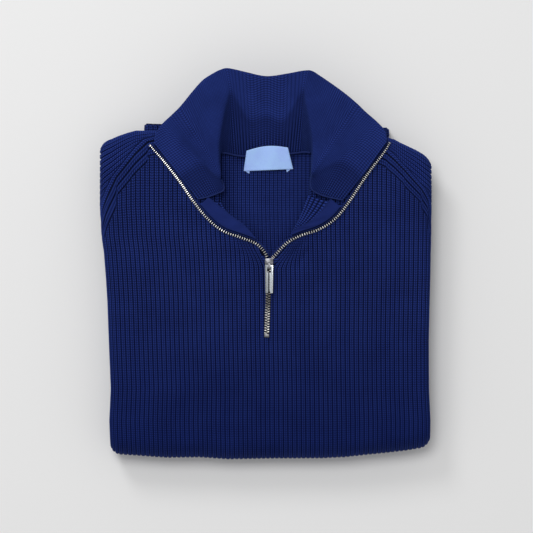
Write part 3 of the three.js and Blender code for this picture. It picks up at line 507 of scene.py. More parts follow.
def metalMaterial(name, colour, rough=0.24, wear=0.6, shadeBelowPull=0.0):
    shop = Shop(name)
    place = shop.place()
    grain = shop.noise(place, 700.0, 3.0, 0.6)
    cloudy = shop.noise(place, 160.0, 2.0, 0.5)
    tone = shop.blend((cloudy * 1.6 - 0.3).within(), tuple(c * wear for c in colour), colour)
    if shadeBelowPull:  # painted shade: the chain is darker just below the pull
        along = shop.add("ShaderNodeSeparateXYZ", {}, {0: place}, out=1) * -1000
        paintedChainShade = ((along - 4) / 4).within() * ((47 - along) / 6).within() * shadeBelowPull
        tone = shop.blend(paintedChainShade, tone, (0.12, 0.11, 0.10))
    return shop.finish({"Base Color": tone, "Metallic": 1.0, "Roughness": rough + grain * 0.14}, grain, 0.12, 0.0002)


# each piece's lift brightens or darkens the same yarn as painted light and shade; the collar's inside gets painted
# shade
bodyKnit = knitMaterial("navyRibKnit", garment["ribPitch"], 2.4)
sleeveKnit = knitMaterial("sleeveRibKnit", 4.85, 2.4, lift=1.22)
insideKnit = knitMaterial("insideRibKnit", 4.0, 2.3, grooves=0.4, plain=0.25, slant=0.4, lift=0.92)
collarKnit = knitMaterial("collarRibKnit", 1.0, 2.45, paired=False, plain=0.3, grooves=0.6, slant=0.0, lift=1.2,
                          shaded=0.36)
beadKnit = knitMaterial("insideFrontKnit", 2.9, 2.3, paired=False, plain=0.1, grooves=0.8, slant=0.0, lift=1.15)
facingCloth = wovenMaterial("facingSatin", (0.0125, 0.026, 0.155), (0.006, 0.012, 0.075), sheen=0.1, gloss=0.06)
# the cord's navy, darkened as painted shade between the teeth
cordClothPaintedShade = wovenMaterial("zipCordWeavePaintedShade", (0.004, 0.007, 0.03), (0.001, 0.002, 0.01))
tapeCloth = wovenMaterial("zipTapeWeave", (0.012, 0.025, 0.145), (0.004, 0.009, 0.05))
labelSatin = wovenMaterial("labelSatin", (0.43, 0.76, 1.0), (0.32, 0.38, 0.98), 500.0, 0.42, 0.35, 0.7)
seamShade = wovenMaterial("seamShade", (0.004, 0.008, 0.042), (0.0008, 0.0015, 0.01), pitch=1.3)
seamYarn = wovenMaterial("seamYarn", (0.018, 0.035, 0.17), (0.004, 0.008, 0.045), pitch=1.3)
sewingThread = wovenMaterial("sewingThread", (0.024, 0.045, 0.19), (0.008, 0.015, 0.08), pitch=0.5)
steelBright = metalMaterial("brushedSteel", (0.62, 0.63, 0.66), 0.22)
steelTeeth = metalMaterial("steelTeeth", (0.80, 0.79, 0.76), 0.2, 0.5, 0.7)
steelDark = metalMaterial("sliderSteel", (0.27, 0.27, 0.29), 0.28, 0.3)


def pullMaterial():  # the stamped pull, with painted reflection: a bright right rail, a darker left one with a bright edge
    shop = Shop("stampedSteelPaintedReflection")
    place = shop.place()
    across = shop.add("ShaderNodeSeparateXYZ", {}, {0: place}) * 1000 - 3.6
    grain = shop.noise(place, 700.0, 3.0, 0.6)
    right = ((across - 0.35) * 3).within()
    left = ((across * -1 - 0.75) * 3).within()
    outerLeft = ((across * -1 - 2.4) * 1.5).within()
    tone = (right * 0.85 + left * 0.55 - outerLeft * 0.25 + 0.06 + (grain - 0.5) * 0.25).within()
    colour = shop.blend(tone, (0.07, 0.07, 0.08), (0.84, 0.90, 0.96))
    return shop.finish({"Base Color": colour, "Metallic": 1.0, "Roughness": 0.2 + grain * 0.14}, grain, 0.12, 0.0002)


steelPull = pullMaterial()
print("materials made")

# The front.
frontCloth = {
    "half": 181.7,
    "pointsToARib": 6,
    "ribDeep": 1.25,
    "band": 13.2,           # the ribs beside the raglan seam run along it
    "bandPitch": 6.6,
    "bandDeep": 1.5,
    "seamGap": 0.15,
    "creases": [  # x, y, direction in degrees, half length, half width, height
        (27, 14, 44, 17, 2.6, -1.5), (37, 15, 52, 16, 2.8, 0.8), (33, 1, 64, 18, 3.2, -1.0),
        (-14, -4, 118, 16, 3.0, -0.8), (-28, 12, 150, 14, 3.0, -0.7), (11, -46, 84, 24, 3.4, -0.9),
        (-9, -52, 94, 22, 3.4, -0.7), (-112, -60, 84, 60, 16, -0.7), (120, -110, 92, 52, 18, -0.6),
        (84, 40, 118, 26, 8, -0.7), (-92, 66, 62, 20, 7, -0.6)],
}
underarm = np.array([(garment["sideRoll"] * 1.55, 44), (garment["sideRoll"] * 2.1, 33), (wrapEnd, 24)])


def seamOnCloth(rows, side):
    a, b = locate(rows[:, 0], rows[:, 1])
    a = np.concatenate([a, side * (flatHalf + underarm[:, 0])])
    return np.stack([a, np.concatenate([b, underarm[:, 1]])], -1)


leftSeam, rightSeam = seamOnCloth(raglanLeft, -1), seamOnCloth(raglanRight, 1)
openingEdge = np.stack(locate(rollLine[:, 0], rollLine[:, 1]), -1)
frontEdge = np.concatenate([leftSeam[::-1], openingEdge, rightSeam])


def frontEdgeAt(a):
    return np.interp(a, frontEdge[:, 0], frontEdge[:, 1]) - frontCloth["seamGap"]


def drawnRibs(a, b):  # how far the slider's pull draws the ribs beside the zip out of line
    right = np.exp(-(((a - b - 2) / 15) ** 2)) * ease((44 - a) / 26) * ease((a - 2) / 8) * np.maximum(0, b + 4)
    left = np.exp(-(((-a - b + 4) / 13) ** 2)) * ease((a + 36) / 24) * ease((-a + 1) / 8) * np.maximum(0, b + 4)
    return right * 0.85 - left * 0.4


def frontPanel():
    half, pitch = frontCloth["half"], garment["ribPitch"]
    count = round(2 * half / pitch * frontCloth["pointsToARib"]) + 1
    a = np.linspace(-half, half, count)
    top = frontEdgeAt(a)
    foldEnd = garment["foldLine"] - math.pi * garment["middleHeight"]
    band = np.linspace(0, frontCloth["band"] * 1.5, 30)
    rows = [top - step for step in band]
    rows += [mix(top - band[-1], -20, t) for t in np.linspace(0, 1, 62)[1:]]
    rows += [np.full(count, b) for b in np.linspace(-20, foldEnd, 84)[1:]]
    b = np.stack(rows)
    aa = np.broadcast_to(a, b.shape)
    slope = np.hypot(1, np.gradient(np.interp(a, frontEdge[:, 0], frontEdge[:, 1]), a).clip(-2.5, 2.5))
    fromSeam = (top - b) / slope
    along = np.cumsum(slope) * (a[1] - a[0])
    inBand = ease((np.abs(a) - 47) / 3) * ease((frontCloth["band"] + 1.0 - fromSeam) / 0.9)
    drawn = aa - drawnRibs(aa, b)
    upright = ribDepth(drawn, pitch, frontCloth["ribDeep"])
    banded = ribDepth(fromSeam, frontCloth["bandPitch"], frontCloth["bandDeep"])
    sewn = 1.0 * np.exp(-(fromSeam / 1.1) ** 2)  # the cloth thins to its sewn edge
    depth = mix(upright, banded, inBand) + sewn - bumps(aa, b, frontCloth["creases"])
    outer = stackPoint(aa, b, depth)
    pick = np.ix_(thinned(len(rows), 3), thinned(count, 4))
    inner = stackPoint(aa[pick], b[pick], garment["wall"] + 0.4)
    banded = np.round(inBand)
    bandU = fromSeam * pitch / frontCloth["bandPitch"]
    uv = np.stack([mix(drawn, bandU, banded), mix(b, along, banded)], -1)
    piece = shell("frontCloth", outer, inner, bodyKnit, uv, uv[pick])
    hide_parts("front_panel")
    return piece


front = frontPanel()
print("front made", len(front.data.vertices))

# The sleeves, folded behind: the part that shows runs from the raglan seam over the edge.
sleeveCloth = {
    "gap": 0.35,            # mm clear of the front's edge
    "seamStart": 50.5,
    "ribPitch": 4.85,
    "ribDeep": 1.45,
    "seamRib": 5.2,
    "lines": 46,
    "slopes": [  # a rib's height at 150 mm from the middle, and how steeply it falls outwards
        (40, 1.15), (60, 1.0), (85, 0.74), (102, 0.48), (107, 0.4), (113, 0.3), (118, 0.2), (127, 0.14)],
}
overTop, sideEnd = garment["shoulderLine"] + wrapEnd, flatHalf + wrapEnd
sleeveEnds = np.array([
    (0, 53, overTop), (0.2, 95, overTop), (0.3, 125, overTop), (0.36, flatHalf, overTop),
    (0.43, flatHalf + 20.4, garment["shoulderLine"] + 20.4), (0.5, sideEnd, garment["shoulderLine"]),
    (0.62, sideEnd, 97), (0.77, sideEnd, 66), (0.86, sideEnd, 48), (1, sideEnd, 29)], float)


def raglanPath(side, off, count):  # beside the front's edge, from the collar down to the underarm
    a = np.linspace(sleeveCloth["seamStart"], frontCloth["half"], 400)
    da, db = np.gradient(a), np.gradient(frontEdgeAt(side * a))
    long = np.hypot(da, db)
    moved = np.stack([a - db / long * off, frontEdgeAt(side * a) + da / long * off], -1)
    return evenly(moved, count) * (side, 1)


def ribLevel(a, b):  # which rib of the sleeve a point is on
    slopes = np.array(sleeveCloth["slopes"], float)
    level = b
    for _ in range(8):
        level = mix(level, b - np.interp(level, *slopes.T) * (150 - np.abs(a)), 0.6)
    return level


def sleeve(side, name, node):
    rows = 330
    t = np.linspace(0, 1, rows)
    start = raglanPath(side, sleeveCloth["gap"], rows)
    end = np.stack([side * np.interp(t, sleeveEnds[:, 0], sleeveEnds[:, 1]),
                    np.interp(t, sleeveEnds[:, 0], sleeveEnds[:, 2])], -1)
    long = np.linalg.norm(end - start, axis=1)[:, None]
    near = np.arange(9) * 0.75
    share = near[None] * np.minimum(1, long * 0.4 / near[-1]) / long
    rest = np.linspace(0, 1, sleeveCloth["lines"])[None, 1:]
    p = np.concatenate([share, share[:, -1:] + (1 - share[:, -1:]) * rest], axis=1)
    ab = start[:, None] + (end - start)[:, None] * p[:, :, None]
    a, b = ab[..., 0], ab[..., 1]
    fromSeam = p * long
    along = runLength(start)[:, None] + 0 * p
    beside = ease((sleeveCloth["seamRib"] + 0.8 - fromSeam) / 0.7)
    level = ribLevel(a, b)
    out = ribDepth(level, sleeveCloth["ribPitch"], sleeveCloth["ribDeep"])
    seamRib = ribDepth(fromSeam, sleeveCloth["seamRib"], sleeveCloth["ribDeep"])
    depth = mix(out, seamRib, beside) + 0.9 * np.exp(-(fromSeam / 1.1) ** 2)
    outer = stackPoint(a, b, depth)
    pick = np.ix_(thinned(rows, 5), thinned(p.shape[1], 4))
    inner = stackPoint(a[pick], b[pick], garment["wall"] + 0.3)
    onSeam = np.round(beside)
    seamU = fromSeam * sleeveCloth["ribPitch"] / sleeveCloth["seamRib"]
    uv = np.stack([mix(level, seamU, onSeam), mix(np.abs(a) * 1.15, along, onSeam)], -1)
    piece = shell(name, outer, inner, sleeveKnit, uv, uv[pick])
    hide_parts(node)
    return piece


sleeves = [sleeve(-1, "sleeveClothLeft", "sleeve_left"), sleeve(1, "sleeveClothRight", "sleeve_right")]

raglanSeam = {"radius": 0.6, "sunk": 1.9}
for side, name in ((-1, "raglanSeamLeft"), (1, "raglanSeamRight")):
    onEdge = raglanPath(side, sleeveCloth["gap"] / 2, 260)
    path = stackPoint(onEdge[:, 0], onEdge[:, 1], raglanSeam["sunk"])
    points, faces, uv = strands([path], raglanSeam["radius"], 8)
    makeMesh(name, points, faces, seamShade, uv=uv)
print("sleeves made")

# The back, seen inside the neck.
backCloth = {"ribPitch": 4.0, "ribDeep": 0.9, "half": 46.0, "start": -24.0}


def backPanel():
    a = np.linspace(-backCloth["half"], backCloth["half"], 139)
    b = np.linspace(backCloth["start"], garment["shoulderLine"], 80)
    bb, aa = np.meshgrid(b, a, indexing="ij")
    crease = bumps(aa, bb, [(-8, 60, 82, 40, 7, 0.8), (14, 40, 100, 34, 8, -0.8), (26, 86, 60, 20, 6, 0.6)])
    ribs = ribDepth(aa, backCloth["ribPitch"], backCloth["ribDeep"])
    outer = backPoint(aa, bb, ribs - crease * ease((b[:, None] + 20) / 30))
    pick = np.ix_(thinned(80, 4), thinned(139, 6))
    inner = backPoint(aa[pick], bb[pick], garment["wall"])
    uv = np.stack([aa, bb], -1)
    piece = shell("backCloth", outer, inner, insideKnit, uv, uv[pick])
    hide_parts("back_panel")
    return piece


back = backPanel()
print("back made")

# The collar.
collarCloth = {
    "leafPitch": 2.6,       # mm from rib to rib, halfway up the leaves
    "backPitch": 2.95,      # mm from rib to rib, where the back is sewn on
    "leafDeep": 0.4,
    "backDeep": (1.0, 0.18),  # mm, at the seam and higher up
    "wall": 2.8,
    "turnReach": 9.0,
    "pointsToARib": 6,
    "rows": [np.linspace(0, 1, 14), np.linspace(1, 4, 15)[1:], np.linspace(4, 7.8, 34)[1:], [7.9, 7.96, 8]],
}


def collarPoint(s, row):  # straight up from the seam, round the turn and on to the free edge
    section = smoothRow(collarSections, s)
    seam, turn, edge = section[:, 0:3], section[:, 3:6], section[:, 6:9]
    reach = collarCloth["turnReach"]
    share = lambda other: np.minimum(0.42, reach / np.linalg.norm(other - turn, axis=1))[:, None]
    before, after = mix(turn, seam, share(seam)), mix(turn, edge, share(edge))
    row = np.broadcast_to(np.asarray(row, float), (len(section),))[:, None]
    t = (row - 1) / 3
    bent = before * (1 - t) ** 2 + turn * 2 * t * (1 - t) + after * t * t
    return np.where(row <= 1, mix(seam, before, row), np.where(row >= 4, mix(after, edge, (row - 4) / 4), bent))


def collarFace(s, row, depth):
    bare = collarPoint(s, row)
    along = collarPoint(np.minimum(1, s + 0.004), row) - collarPoint(np.maximum(0, s - 0.004), row)
    up = collarPoint(s, np.minimum(8, row + 0.1)) - collarPoint(s, np.maximum(0, row - 0.1))
    normal = np.cross(along, up)
    normal /= np.linalg.norm(normal, axis=1)[:, None]
    depth = np.broadcast_to(np.asarray(depth, float), s.shape)
    point = bare + normal * depth[:, None]
    x, y, z = point.T
    onBody = (y < 128) & ((np.abs(x) > 47.5) | (y < 100))
    inNeck = (y < 118) & ~onBody
    clear = garment["layerGap"] + np.where(depth < -1.4, 0, collarCloth["wall"] + depth)
    floor = np.where(onBody, bodyTop(x, y), np.where(inNeck, neckFloor(x, y), -1e3)) + clear
    point[:, 2] = np.maximum(z, floor)
    return point


def roundedIn(row):  # how far the collar's free edge has rounded in
    return max(0, (row - 7.8) / 0.2) ** 2


def collar():
    fine = np.linspace(0, 1, 1200)
    onLeaf = np.gradient(runLength(collarPoint(fine, 5.5))) / collarCloth["leafPitch"]
    onBack = np.gradient(runLength(collarPoint(fine, 0))) / collarCloth["backPitch"]
    atBack = ease((fine - 0.34) / 0.1) * ease((0.66 - fine) / 0.1)
    run = np.cumsum(mix(onLeaf, onBack, atBack))
    run -= run[0]
    ribs = round(run[-1])
    print("collar ribs", ribs)
    count = np.linspace(0, ribs, ribs * collarCloth["pointsToARib"] + 1)
    s = np.interp(count * run[-1] / ribs, run, fine)
    rows = np.concatenate(collarCloth["rows"])
    rib = ribDepth(count, 1, 1.0, False)
    backward = np.interp(s, fine, atBack)
    outer = []
    for row in rows:
        fade = ease((8.02 - row) / 0.25) * ease((row + 0.05) / 0.12)
        tip = 1.2 * roundedIn(row)
        deep = mix(collarCloth["leafDeep"], mix(*collarCloth["backDeep"], ease((row - 0.25) / 0.9)), backward)
        outer.append(collarFace(s, row, -rib * fade * deep - tip))
    outer = np.stack(outer)
    coarse, innerRows = s[::5], rows[thinned(len(rows), 3)]
    inner = np.stack([collarFace(coarse, row, roundedIn(row) - collarCloth["wall"]) for row in innerRows])
    high = np.zeros((len(rows), len(s)))  # mm up from the turn
    bare = np.stack([collarPoint(s, row) for row in rows])
    high[1:] = np.cumsum(np.linalg.norm(np.diff(bare, axis=0), axis=2), axis=0)
    high -= high[np.searchsorted(rows, 2.5)]
    uv = np.stack(np.broadcast_arrays(count[None], high), -1)
    innerUv = uv[thinned(len(rows), 3)][:, ::5]
    piece = shell("collarCloth", outer, inner, collarKnit, uv, innerUv)
    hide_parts("collar")
    return piece


collarPiece = collar()

# The roll of cloth where the collar is sewn on, inside the back neck and along the two leaves.
for name, first, last, radius in (
    ("neckSeam", 0.30, 0.70, 1.0), ("leafSeamLeft", 0.004, 0.175, 0.8), ("leafSeamRight", 0.825, 0.996, 0.8)):
    s = np.linspace(first, last, 160)
    path = collarFace(s, 0.02, 0.35)
    points, faces, uv = strands([path], radius, 8, 0.8)
    makeMesh(name, points, faces, seamYarn, uv=uv)
print("collar made")

# What shows underneath: the lower half, folded up behind, and the hem.
lowerCloth = {
    "ribDeep": 1.0,
    "layers": 2,
    "hemStart": 95.0,
    "hemLift": 18.6,
    "wall": 2.4,
    "step": 0.78,
    "rings": 62,
    "ringPoints": 794,
}
hemCloth = {"half": 111.0, "layers": 4, "ribDeep": 1.0, "groove": 2.2, "wall": 2.4}


def rollSide(half, radius, low, high, steps, layers, groove):
    k = np.linspace(0, 1, steps)
    t = mix(0.04, 0.96, k)
    within = np.abs(np.sin(math.pi * layers * t))
    bulge = radius * np.sqrt(np.sin(math.pi * t))
    return half + bulge - groove * (1 - within) ** 2, mix(low, high, k)


def ribbedRing(half, radius, high, layers, groove, cloth, overStep):
    # across the underside, up the right roll, back over and down the left: outer ring, inner ring, uv
    flat = np.linspace(-half, half, round(2 * half / lowerCloth["step"]))
    rx, rz = rollSide(half, radius, 0, high, 45, layers, groove)
    over = np.linspace(half, -half, overStep)
    px = np.concatenate([flat[1:-1], rx, over[1:-1], -rx[::-1]])
    pz = np.concatenate([0 * flat[1:-1], rz, np.full(len(over) - 2, high), rz[::-1]])
    ring = np.stack([px, pz], -1)
    tangent = np.roll(ring, -1, axis=0) - np.roll(ring, 1, axis=0)
    inward = np.stack([-tangent[:, 1], tangent[:, 0]], -1)
    inward /= np.linalg.norm(inward, axis=1)[:, None]
    run = runLength(ring)
    centred = run - half
    deep = ribDepth(centred, garment["ribPitch"], cloth["ribDeep"])
    outer = ring + inward * deep[:, None]
    outer[:, 1] = np.maximum(0, outer[:, 1])
    return outer, ring + inward * (cloth["wall"] + 0.2), centred


def lowerHalf():
    stations = np.linspace(-178.6, lowerCloth["hemStart"], lowerCloth["rings"])
    lowTop = garment["middleHeight"] - garment["grooveGap"]
    outer, inner, uv = [], [], []
    for y in stations:
        waves = 0.7 * math.sin(y / 17) ** 2 + 0.4 * math.sin(y / 7.3 + 1) ** 2
        half = flatHalf - 38 * float(ease((y + 60) / 160)) - waves
        groove = 2.6 * float(ease((y + 178) / 50))
        one, two, run = ribbedRing(
            half, garment["sideRoll"], lowTop, lowerCloth["layers"], groove, lowerCloth, 40)
        at = np.linspace(0, 1, lowerCloth["ringPoints"])  # every ring has the same number of points
        share = (run - run[0]) / (run[-1] - run[0])
        pull = lambda ring: np.stack([np.interp(at, share, ring[:, k]) for k in (0, 1)], -1)
        one, two = pull(one), pull(two)
        for ring, into in ((one, outer), (two, inner)):
            x, realY = toOutline(ring[:, 0], np.full(len(ring), y))
            into.append(np.stack([x, realY, ring[:, 1]], -1))
        uv.append(np.stack([np.interp(at, share, run), np.full(len(at), y)], -1))
    piece = ringShell("lowerHalfCloth", np.stack(outer), np.stack(inner), bodyKnit, np.stack(uv))
    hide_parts("folded_layers")
    return piece


def hem():
    swelling = np.array([(104.5, 0), (114, 0.6), (126, 0), (132, -0.8), (138, 0.4), (142.5, 0.2), (144.4, -2)], float)
    stations = np.concatenate([np.linspace(104.5, 142.5, 26), [143.4, 144.1, 144.4]])
    outer, inner, uv = [], [], []
    for y in stations:
        radius = garment["sideRoll"] * 0.9 + np.interp(y, *swelling.T)
        rings = ribbedRing(hemCloth["half"], radius, lowerCloth["hemLift"], hemCloth["layers"],
                           hemCloth["groove"], hemCloth, 280)
        for ring, into in ((rings[0], outer), (rings[1], inner)):
            x, _ = toOutline(ring[:, 0] * 1.02 + 1, np.full(len(ring), 60.0))
            back = np.where(ring[:, 1] > 9, 1.2, 0) * ease((y - 120) / 20)
            into.append(np.stack([x, y - 0.018 * ring[:, 0] - back, ring[:, 1]], -1))
        uv.append(np.stack([rings[2], np.full(len(rings[2]), y)], -1))
    piece = ringShell("hemCloth", np.stack(outer), np.stack(inner), bodyKnit, np.stack(uv))
    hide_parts("hem_band")
    return piece


lower, hemPiece = lowerHalf(), hem()
print("lower half and hem made")

# The turned-back opening edges and the facing over the zip's tape.
lapelParts = {
    "edge": 3.7,
    "start": 0.06,
    "tops": {-1: (-46.3, 66.5), 1: (43.5, 73.5)},
    "ends": {-1: 0.68, 1: 0.58},
    "across": [0, 0.12, 0.3, 0.65, 1],
    "over": [0.4, 2.4, 3.3, 3.1, 2.9],
    "under": [-1.6, -1.2, 0.3, 0.4, 0.4],
    "facingEdges": {
        -1: [(-58.2, 69.5), (-47.3, 60.6), (-31.4, 47.9), (-23.6, 42.7), (-16, 35)],
        1: [(66.5, 67.8), (52, 50.5), (41.5, 42.5), (31, 37.4), (25, 31)]},
    "facingLift": (3.7, 4.5),
    "stitchLong": 1.5,
    "stitchGap": 0.75,
}


def beside(rows, t, offset):
    here, ahead, behind = (smoothRow(rows, v) for v in (t, np.minimum(1, t + 0.01), np.maximum(0, t - 0.01)))
    d = ahead - behind
    d /= np.linalg.norm(d, axis=1)[:, None]
    return here + np.stack([-d[:, 1], d[:, 0]], -1) * offset


def rollEdge(side, t):
    rolled = rollLine[(side * (rollLine[:, 0] - 2) > 0.3) & (rollLine[:, 1] > 5)][::-side]
    return smoothRow(np.concatenate([[lapelParts["tops"][side]], rolled[1:]]), t)


def facingEdge(side, t):
    return smoothRow(np.array(lapelParts["facingEdges"][side], float), (t - t[0]) / (t[-1] - t[0]))


def lapelGrid(side, zipRows, t, w, lifts, innerEdge=rollEdge):
    inner = innerEdge(side, t)
    outer = beside(zipRows[4:], t, -side * lapelParts["edge"])
    xy = inner[:, None] + (outer - inner)[:, None] * w[None, :, None]
    z = bodyTop(xy[..., 0], xy[..., 1]) + lifts
    return np.concatenate([xy, z[..., None]], -1)


def gridUv(grid):
    across = runLength(grid[len(grid) // 2])
    along = runLength(grid[:, 0])
    return np.stack(np.broadcast_arrays(across[None], along[:, None]), -1)


def lapel(side, zipRows, name):
    t = np.linspace(lapelParts["start"], lapelParts["ends"][side], 120)
    w = np.linspace(0, 1, 48)
    level = np.interp(w, lapelParts["across"], lapelParts["over"])
    bare = lapelGrid(side, zipRows, t, w, level)
    uv = gridUv(bare)
    ribs = ribDepth(uv[..., 0], 2.9, 0.8, False) * ease(w / 0.1)[None] * ease((1 - w) / 0.08)[None]
    outer = lapelGrid(side, zipRows, t, w, level - ribs)
    pickT, pickW = thinned(120, 5), thinned(48, 3)
    under = np.interp(w[pickW], lapelParts["across"], lapelParts["under"])
    inner = lapelGrid(side, zipRows, t[pickT], w[pickW], under)
    piece = shell(name, outer, inner, beadKnit, uv, uv[np.ix_(pickT, pickW)])
    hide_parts("front_panel")
    return piece


def facing(side, zipRows, name, node):
    t = np.linspace(lapelParts["start"] + 0.01, lapelParts["ends"][side] - 0.02, 70)
    k = np.linspace(0, 1, 26)
    low, high = lapelParts["facingLift"]
    wave = 0.5 * np.sin(t[:, None] * 34 + k[None] * 2.4 + side) * np.sin(math.pi * k)[None]
    edge = 0.45 * np.exp(-(k / 0.09) ** 2)[None] + 0.3 * np.exp(-((1 - k) / 0.09) ** 2)[None]
    outer = lapelGrid(side, zipRows, t, k, high + wave - edge, facingEdge)
    inner = lapelGrid(side, zipRows, t, k, low + 0 * wave, facingEdge)
    uv = gridUv(outer)
    piece = shell(name, outer, inner, facingCloth, uv, uv)
    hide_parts(node)
    stitches = []
    for share in (0.07, 0.93):
        steps = np.linspace(t[1], t[-2], 200)
        line = lapelGrid(side, zipRows, steps, np.array([share]), high + 0.12, facingEdge)[:, 0]
        stitches += stitchRow(line)
    points, faces, threadUv = strands(stitches, 0.2, 5)
    sewn = makeMesh(name + "Stitches", points, faces, sewingThread, uv=threadUv)
    return piece, sewn


def stitchRow(line):
    run = runLength(line)
    step = lapelParts["stitchLong"] + lapelParts["stitchGap"]
    starts = np.arange(0.5, run[-1] - step, step)
    at = lambda d: np.stack([np.interp(d, run, line[:, k]) for k in range(3)], -1)
    dip = np.array([-0.25, 0.06, 0.1, 0.06, -0.25])
    return [at(s + np.linspace(0, lapelParts["stitchLong"], 5)) + dip[:, None] * (0, 0, 1) for s in starts]


lapels = [lapel(-1, zipLeft, "lapelLeft"), lapel(1, zipRight, "lapelRight")]
facings = [
    *facing(-1, zipLeft, "facingLeft", "zip_facing_left"),
    *facing(1, zipRight, "facingRight", "zip_facing_right")]
print("lapels and facings made")

# The zip: teeth on a cord, a chain where they are closed, stops, slider and pull.
zipParts = {
    "pitches": (2.15, 2.5),   # mm from tooth to tooth, at the collar and at the slider
    "lift": 0.4,
    "tooth": [(-1.5, 0.36), (-1.2, 0.56), (0.1, 0.56), (0.4, 0.4), (1.1, 0.5), (1.5, 0.34)],  # across, half length
    "levels": [(0.25, 1.0), (1.35, 1.0), (1.75, 0.62)],  # height, share of the plan
    "first": 0.012,
    "cordRadius": 0.95,
    "tapeWide": 1.4,
    "tapeLift": 0.9,
    "chainLift": 0.9,
}


def toothBlock(plan, levels):  # one tooth, its length along x and its width along y
    half = np.array(plan, float)
    outline = np.concatenate([np.stack([half[:, 1], half[:, 0]], -1), np.stack([-half[::-1, 1], half[::-1, 0]], -1)])
    centre = outline.mean(0)
    points = [np.column_stack([mix(centre, outline, share), np.full(len(outline), z)]) for z, share in levels]
    count = len(outline)
    faces = tubeFaces(len(levels), count).tolist()
    faces += [tuple(range(count))[::-1], tuple(range(count * (len(levels) - 1), count * len(levels)))]
    points = np.concatenate(points)
    return points, facingOut(points, faces)


def setTeeth(name, places, ahead, sideways, block, material, node, wide=None):
    wide = np.ones(len(places)) if wide is None else wide
    body, blockFaces = block
    points, faces = [], []
    for k, (place, d, s) in enumerate(zip(places, ahead, sideways * wide[:, None])):
        faces += [tuple(v + k * len(body) for v in face) for face in blockFaces]
        points.append(place + body[:, :1] * d + body[:, 1:2] * s + body[:, 2:] * np.array((0, 0, 1)))
    piece = makeMesh(name, np.concatenate(points), faces, material, smooth=False)
    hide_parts(node)
    return piece


def zipPath(rows, offset, lift, first=0.0, last=1.0, count=400):
    xy = evenly(beside(rows, np.linspace(first, last, count), offset), count)
    return np.column_stack([xy, bodyTop(xy[:, 0], xy[:, 1]) + lift])


def zipSide(label, rows, side):
    path = zipPath(rows, 0, zipParts["lift"], zipParts["first"])
    run = runLength(path)
    starts = [0.0]
    while starts[-1] < run[-1] - 1.5:
        starts.append(starts[-1] + mix(*zipParts["pitches"], ease(starts[-1] / run[-1] * 2 - 0.5)))
    places = np.stack([np.interp(starts, run, path[:, k]) for k in range(3)], -1)
    ahead = np.gradient(places, axis=0)
    ahead /= np.linalg.norm(ahead, axis=1)[:, None]
    sideways = np.cross((0, 0, 1), ahead) * -side
    sideways /= np.linalg.norm(sideways, axis=1)[:, None]
    name = label.capitalize()
    block = toothBlock(zipParts["tooth"], zipParts["levels"])
    wide = mix(0.62, 1, ease(np.array(starts) / 45))  # near the collar they are turned on edge
    teeth = setTeeth("zipTeeth" + name, places, ahead, sideways, block, steelTeeth, "zip_teeth_" + label, wide)
    # the cord that the teeth are clenched on, darkened with painted shade between the teeth, and the tape beside it
    cord = evenly(path, 200) + (0, 0, zipParts["cordRadius"] * 0.75)
    points, faces, uv = strands([cord], zipParts["cordRadius"], 8, 0.75)
    cordPiece = makeMesh("zipCord" + name, points, faces, cordClothPaintedShade, uv=uv)
    half = zipParts["tapeWide"] / 2
    inward = -side * (1.5 + half + 0.3)
    edges = [zipPath(rows, inward + shift * half, zipParts["tapeLift"], zipParts["first"], 0.965, 160)
             for shift in (-1, -0.33, 0.33, 1)]
    under = np.stack(edges, 1)
    upper = under + (0, 0, 0.8)
    uv = gridUv(upper)
    tape = shell("zipTape" + name, upper, under, tapeCloth, uv, uv)
    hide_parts("zip_tape_" + label)
    return teeth, cordPiece, tape


zipSides = [*zipSide("left", zipLeft, -1), *zipSide("right", zipRight, 1)]


def chainPath(first, last, count, lift):
    xy = mix(chainTop, chainEnd, np.linspace(first, last, count)[:, None])
    return np.column_stack([xy, bodyTop(xy[:, 0], xy[:, 1]) + lift])


def chain():
    path = chainPath(0.05, 0.94, 50, zipParts["chainLift"])
    ahead = np.gradient(path, axis=0)
    ahead /= np.linalg.norm(ahead, axis=1)[:, None]
    right = np.cross(ahead, (0, 0, 1))
    hand = np.where(np.arange(len(path)) % 2, 1.0, -1.0)[:, None]
    lean = ahead * 0.955 + right * hand * 0.2  # each tooth leans a little, in a herringbone
    lean /= np.linalg.norm(lean, axis=1)[:, None]
    sideways = np.cross(lean, (0, 0, 1)) * -hand
    places = path + right * hand * 1.15
    plan = [(-1.55, 0.36), (-1.25, 0.58), (0.9, 0.58), (1.4, 0.36)]
    return setTeeth("zipChain", places, lean, sideways, toothBlock(plan, zipParts["levels"]), steelTeeth, "zip_chain")


chainPiece = chain()
# the cords under the closed chain, dark with painted shade between its teeth
points, faces, uv = strands([chainPath(0.045, 0.945, 90, zipParts["chainLift"] + 0.55)], 2.5, 10, 0.2)
chainCord = makeMesh("zipChainCord", points, faces, cordClothPaintedShade, uv=uv)


def bevelled(node, name, body, width, segments, material):  # the solid's own shape, with its edges rounded
    piece = bpy.data.objects.new(name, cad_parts[node].data.copy())
    bpy.context.scene.collection.objects.link(piece)
    piece.data.name = name
    mesh = bmesh.new()
    mesh.from_mesh(piece.data)
    bmesh.ops.remove_doubles(mesh, verts=mesh.verts, dist=1e-6)
    bmesh.ops.dissolve_limit(mesh, angle_limit=math.radians(1), verts=mesh.verts, edges=mesh.edges)
    mesh.to_mesh(piece.data)
    mesh.free()
    piece.data.materials.clear()
    piece.data.materials.append(material)
    piece.data.polygons.foreach_set("use_smooth", [True] * len(piece.data.polygons))
    bevel = piece.modifiers.new("roundedEdges", "BEVEL")
    bevel.width, bevel.segments, bevel.limit_method = width / 1000, segments, "ANGLE"
    bevel.angle_limit, bevel.harden_normals = math.radians(35), True
    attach(piece, body)
    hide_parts(node)
    return piece


